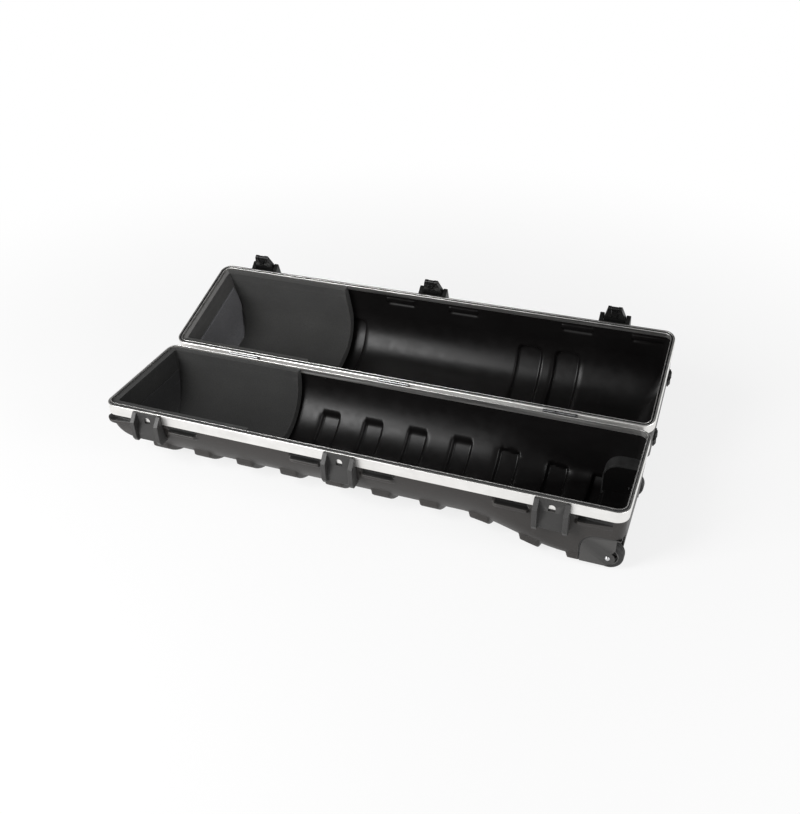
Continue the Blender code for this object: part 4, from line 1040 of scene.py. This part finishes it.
def make_wheels():
    half = WHEEL_WIDTH / 2
    tread = [(HUB_RADIUS + FIT_GAP, half)]
    tread += [(WHEEL_RADIUS - drop, half - step) for drop, step in TYRE_SHOULDER]
    tread += [(WHEEL_RADIUS - drop, offset) for drop, offset in TYRE_GROOVE]
    web = half - WHEEL_WIDTH / 6
    wall = HUB_RADIUS - AXLE_RADIUS
    boss_face = half + BOSS_PROUD
    face = [
        (AXLE_RADIUS + FIT_GAP, boss_face), (BOSS_RADIUS - HUB_EDGE, boss_face),
        (BOSS_RADIUS, boss_face - HUB_EDGE), (BOSS_RADIUS, web + HUB_EDGE),
        (BOSS_RADIUS + HUB_EDGE, web), (wall - HUB_EDGE, web), (wall, web + HUB_EDGE),
        (wall, half - HUB_LIP), (wall + HUB_LIP, half), (HUB_RADIUS, half),
    ]
    reach = (BOSS_RADIUS + wall) / 2
    shaft = [(AXLE_HEAD, 0.0), (AXLE_RADIUS, 0.0), (AXLE_RADIUS, -AXLE_LENGTH), (AXLE_TIP, -AXLE_LENGTH)]
    for name, side in WHEEL_SIDES:
        body = "wheel_" + name
        centre = (WHEEL_X, side * WHEEL_Y, AXLE_Z)
        tyre = make_turned(f"tyre_{name}_turned", mirrored(tread), centre, WHEEL_STEPS)
        finished(tyre, body, ["rubber"], [f"tyre_{name}"], TURNED_SHARP)
        hub = make_turned(f"hub_{name}_turned", mirrored(face), centre, WHEEL_STEPS)
        low, high = sorted((side * (WHEEL_Y - SPOKE_CUT), side * (WHEEL_Y + SPOKE_CUT)))
        for number in range(SPOKE_HOLES):
            angle = 2.0 * math.pi * number / SPOKE_HOLES
            middle = (WHEEL_X + reach * math.cos(angle), AXLE_Z + reach * math.sin(angle))
            outline = arc(middle, SPOKE_RADIUS, 0.0, 345.0, 23)
            cut_away(hub, prism("spoke_hole", outline, low, high, SHIFT))
        finished(hub, body, ["wheel"], [f"hub_{name}"], TURNED_SHARP)
        profile = [(radius, side * offset) for radius, offset in AXLE_DOME + shaft]
        outer = (WHEEL_X, side * (CHEEK_FACE + FIT_GAP), AXLE_Z)
        axle = make_turned(f"axle_{name}_turned", profile, outer, ROD_STEPS)
        finished(axle, "base", ["steel"], [f"axle_{name}"], TURNED_SHARP)


# Tow handle

def make_bail(low_z):
    """Bent rod: two stub ends in the bracket, two arms and the bar that carries the grip."""
    bend = 3 * HANDLE_ROD
    half = HANDLE_SPAN / 2
    side = [(HANDLE_OUTSIDE - HANDLE_ROD, HANDLE_AXIS_Z), (half + HANDLE_ROD, HANDLE_AXIS_Z)]
    side += arc((half + HANDLE_ROD, HANDLE_AXIS_Z - HANDLE_ROD), HANDLE_ROD, 90.0, 180.0, 6)[1:]
    side += arc((half - bend, low_z + bend), bend, 0.0, -90.0, 12)
    path = side + [(-y, z) for y, z in reversed(side)]
    curve = bpy.data.curves.new("handle_bail_rod", "CURVE")
    curve.dimensions = "3D"
    curve.bevel_depth = HANDLE_ROD
    curve.bevel_resolution = 6
    curve.use_fill_caps = True
    spline = curve.splines.new("POLY")
    spline.points.add(len(path) - 1)
    for point, (y, z) in zip(spline.points, path):
        point.co = (HANDLE_AXIS_X + ORIGIN_SHIFT, y, z, 1.0)
    guide = new_object("handle_guide", curve)
    graph = bpy.context.evaluated_depsgraph_get()
    mesh = bpy.data.meshes.new_from_object(guide.evaluated_get(graph))
    bpy.data.objects.remove(guide)
    finished(new_object("handle_bail_rod", mesh), "tow_handle", ["steel"], ["handle_bail"])


def make_handle():
    low_z = HANDLE_AXIS_Z - HANDLE_DROP
    make_bail(low_z)
    bore = HANDLE_ROD + FIT_GAP
    wide, narrow = GRIP_GROOVE
    profile = [(bore, GRIP_HALF), (GRIP_END_RADIUS, GRIP_HALF), (GRIP_RADIUS, GRIP_SHOULDER)]
    for i in range(GRIP_GROOVES):
        y = GRIP_FIRST - i * GRIP_PITCH
        profile += [(GRIP_RADIUS, y + wide), (GRIP_GROOVE_RADIUS, y + narrow)]
        profile += [(GRIP_GROOVE_RADIUS, y - narrow), (GRIP_RADIUS, y - wide)]
    profile += [(GRIP_RADIUS, -GRIP_SHOULDER), (GRIP_END_RADIUS, -GRIP_HALF), (bore, -GRIP_HALF)]
    grip = make_turned("handle_grip_ribbed", profile, (HANDLE_AXIS_X, 0.0, low_z), ROD_STEPS)
    finished(grip, "tow_handle", ["rubber"], ["handle_grip"], TURNED_SHARP)


# Fittings that keep their solids, with the width of their soft edges

LATCH_AND_HINGE_SOLIDS = (
    ("keeper_{}", "fitting", 0.0011),
    ("latch_housing_{}", "latch", 0.0009),
    ("latch_flap_{}", "latch", 0.0006),
    ("latch_trigger_{}", "latch", 0.0005),
    ("latch_pin_{}", "steel", 0.0003),
    ("trigger_pin_{}", "steel", 0.0003),
    ("hinge_{}_base_leaf", "hinge", 0.0003),
    ("hinge_{}_lid_leaf", "hinge", 0.0003),
    ("hinge_{}_pin", "hinge", 0.0003),
)


def finish_nodes():
    for place in LATCH_PLACES:
        for node, finish, width in LATCH_AND_HINGE_SOLIDS:
            solid_node(node.format(place), finish, width)
    for end, _ in WHEEL_SIDES:
        housing = solid_node(f"wheel_housing_{end}", "fitting", 0.0010)
        housing.data.materials.append(MATERIALS["shell_inside"])
        for face in housing.data.polygons:
            face.material_index = 1 if abs(face.center.y) < CHEEK_FACE - CHEEK_SKIN else 0
        solid_node(f"lid_foot_{end}", "rubber", 0.0009)
    solid_node("handle_bracket", "fitting", 0.0008)


# Rivets of the hinges

def add_dome(builder, centre, normal):
    turn = Vector(normal).to_track_quat("Z", "Y").to_matrix().to_4x4()
    place = Matrix.Translation(centre) @ turn
    turns = [2.0 * math.pi * i / RIVET_STEPS for i in range(RIVET_STEPS)]
    rings = []
    for share in RIVET_RINGS:
        level = RIVET_HEIGHT * math.sqrt(1.0 - share * share) if share < 1.0 else -RIVET_SUNK
        radius = RIVET_RADIUS * share
        ring = [Vector((radius * math.cos(a), radius * math.sin(a), level)) for a in turns]
        rings.append([builder.verts.new(place @ point) for point in ring])
    for first, second in zip(rings, rings[1:]):
        band(builder, second, first)
    builder.faces.new(rings[-1])
    builder.faces.new(list(reversed(rings[0])))


def make_rivets():
    leaf = HALF_WIDTH + FIT_GAP + HINGE_LEAF
    for body, side in (("base", -1.0), ("lid", 1.0)):
        builder = bmesh.new()
        for x in HINGE_PLACES:
            for step in (-RIVET_PITCH, 0.0, RIVET_PITCH):
                add_dome(builder, (x + step, leaf, AXIS_Z + side * RIVET_FROM_AXIS), (0.0, 1.0, 0.0))
        bmesh.ops.transform(builder, matrix=PLACES[body], verts=builder.verts)
        finished(from_bmesh(f"{body}_hinge_rivets", builder), body, ["hinge"])


# Stage

FLOOR_HALF = 14.0
FLOOR_LEVEL = -0.0004
FLOOR_FADE = (0.7, 2.4, 0.80, 1.0)
WORLD_AHEAD = (-0.7, 0.7, 0.16, 0.05)
WORLD_ABOVE = (0.18, 0.40, 1.0, 0.0)
LAMPS = (
    ("key", (-1.50, -2.05, 1.75), (-0.10, 0.1, 0.1), 1.2, 2.3, 105.0),
    ("fill", (2.6, -0.6, 1.3), (0.3, 0.0, 0.1), 1.2, 1.2, 28.0),
)


def math_node(tree, operation, first, second):
    node = tree.nodes.new("ShaderNodeMath")
    node.operation = operation
    tree.links.new(first, node.inputs[0])
    tree.links.new(second, node.inputs[1])
    return node.outputs[0]


def floor_material():
    """Pale floor that takes the object's shadow near it and is white further out."""
    material = bpy.data.materials.new("pale floor")
    material.use_nodes = True
    tree = material.node_tree
    nodes = tree.nodes
    links = tree.links
    shader = nodes["Principled BSDF"]
    shader.inputs["Base Color"].default_value = (0.86, 0.86, 0.86, 1.0)
    shader.inputs["Roughness"].default_value = 0.9
    glow = nodes.new("ShaderNodeEmission")
    glow.inputs["Strength"].default_value = 1.0
    path = nodes.new("ShaderNodeLightPath")
    rays = path.outputs["Is Camera Ray"]
    for other in ("Is Glossy Ray", "Is Transmission Ray"):
        rays = math_node(tree, "MAXIMUM", rays, path.outputs[other])
    reach = nodes.new("ShaderNodeVectorMath")
    reach.operation = "LENGTH"
    links.new(nodes.new("ShaderNodeNewGeometry").outputs["Position"], reach.inputs[0])
    fade = range_node(nodes, FLOOR_FADE, "SMOOTHSTEP")
    links.new(reach.outputs["Value"], fade.inputs["Value"])
    mix = nodes.new("ShaderNodeMixShader")
    links.new(math_node(tree, "MULTIPLY", fade.outputs["Result"], rays), mix.inputs[0])
    links.new(shader.outputs[0], mix.inputs[1])
    links.new(glow.outputs[0], mix.inputs[2])
    links.new(mix.outputs[0], nodes["Material Output"].inputs["Surface"])
    return material


def make_floor():
    builder = bmesh.new()
    corners = ((-FLOOR_HALF, -FLOOR_HALF), (FLOOR_HALF, -FLOOR_HALF),
               (FLOOR_HALF, FLOOR_HALF), (-FLOOR_HALF, FLOOR_HALF))
    builder.faces.new([builder.verts.new((x, y, FLOOR_LEVEL)) for x, y in corners])
    floor = from_bmesh("floor", builder)
    floor.data.materials.append(floor_material())


def make_world():
    """White round the horizon, dim overhead, and dimmer behind the case than in front of it."""
    world = bpy.data.worlds.new("studio")
    bpy.context.scene.world = world
    world.use_nodes = True
    nodes = world.node_tree.nodes
    links = world.node_tree.links
    background = nodes["Background"]
    background.inputs["Color"].default_value = (1.0, 1.0, 1.0, 1.0)
    direction = nodes.new("ShaderNodeSeparateXYZ")
    links.new(nodes.new("ShaderNodeTexCoord").outputs["Generated"], direction.inputs[0])
    ahead = range_node(nodes, WORLD_AHEAD, "LINEAR")
    above = range_node(nodes, WORLD_ABOVE, "SMOOTHSTEP")
    links.new(direction.outputs["Y"], ahead.inputs["Value"])
    links.new(direction.outputs["Z"], above.inputs["Value"])
    strength = nodes.new("ShaderNodeMix")
    strength.inputs["B"].default_value = 1.0
    links.new(above.outputs["Result"], strength.inputs["Factor"])
    links.new(ahead.outputs["Result"], strength.inputs["A"])
    links.new(strength.outputs["Result"], background.inputs["Strength"])


def make_lamps():
    for name, place, target, width, height, power in LAMPS:
        data = bpy.data.lights.new(name, "AREA")
        data.shape = "RECTANGLE"
        data.size = width
        data.size_y = height
        data.energy = power
        lamp = new_object(name, data)
        lamp.location = place
        lamp.rotation_mode = "QUATERNION"
        lamp.rotation_quaternion = (Vector(target) - Vector(place)).to_track_quat("-Z", "Y")


bpy.context.scene.view_settings.view_transform = "Standard"
make_camera()
make_shells()
make_seals()
make_rims()
make_foam()
make_wheels()
make_handle()
finish_nodes()
make_rivets()
make_floor()
make_world()
make_lamps()
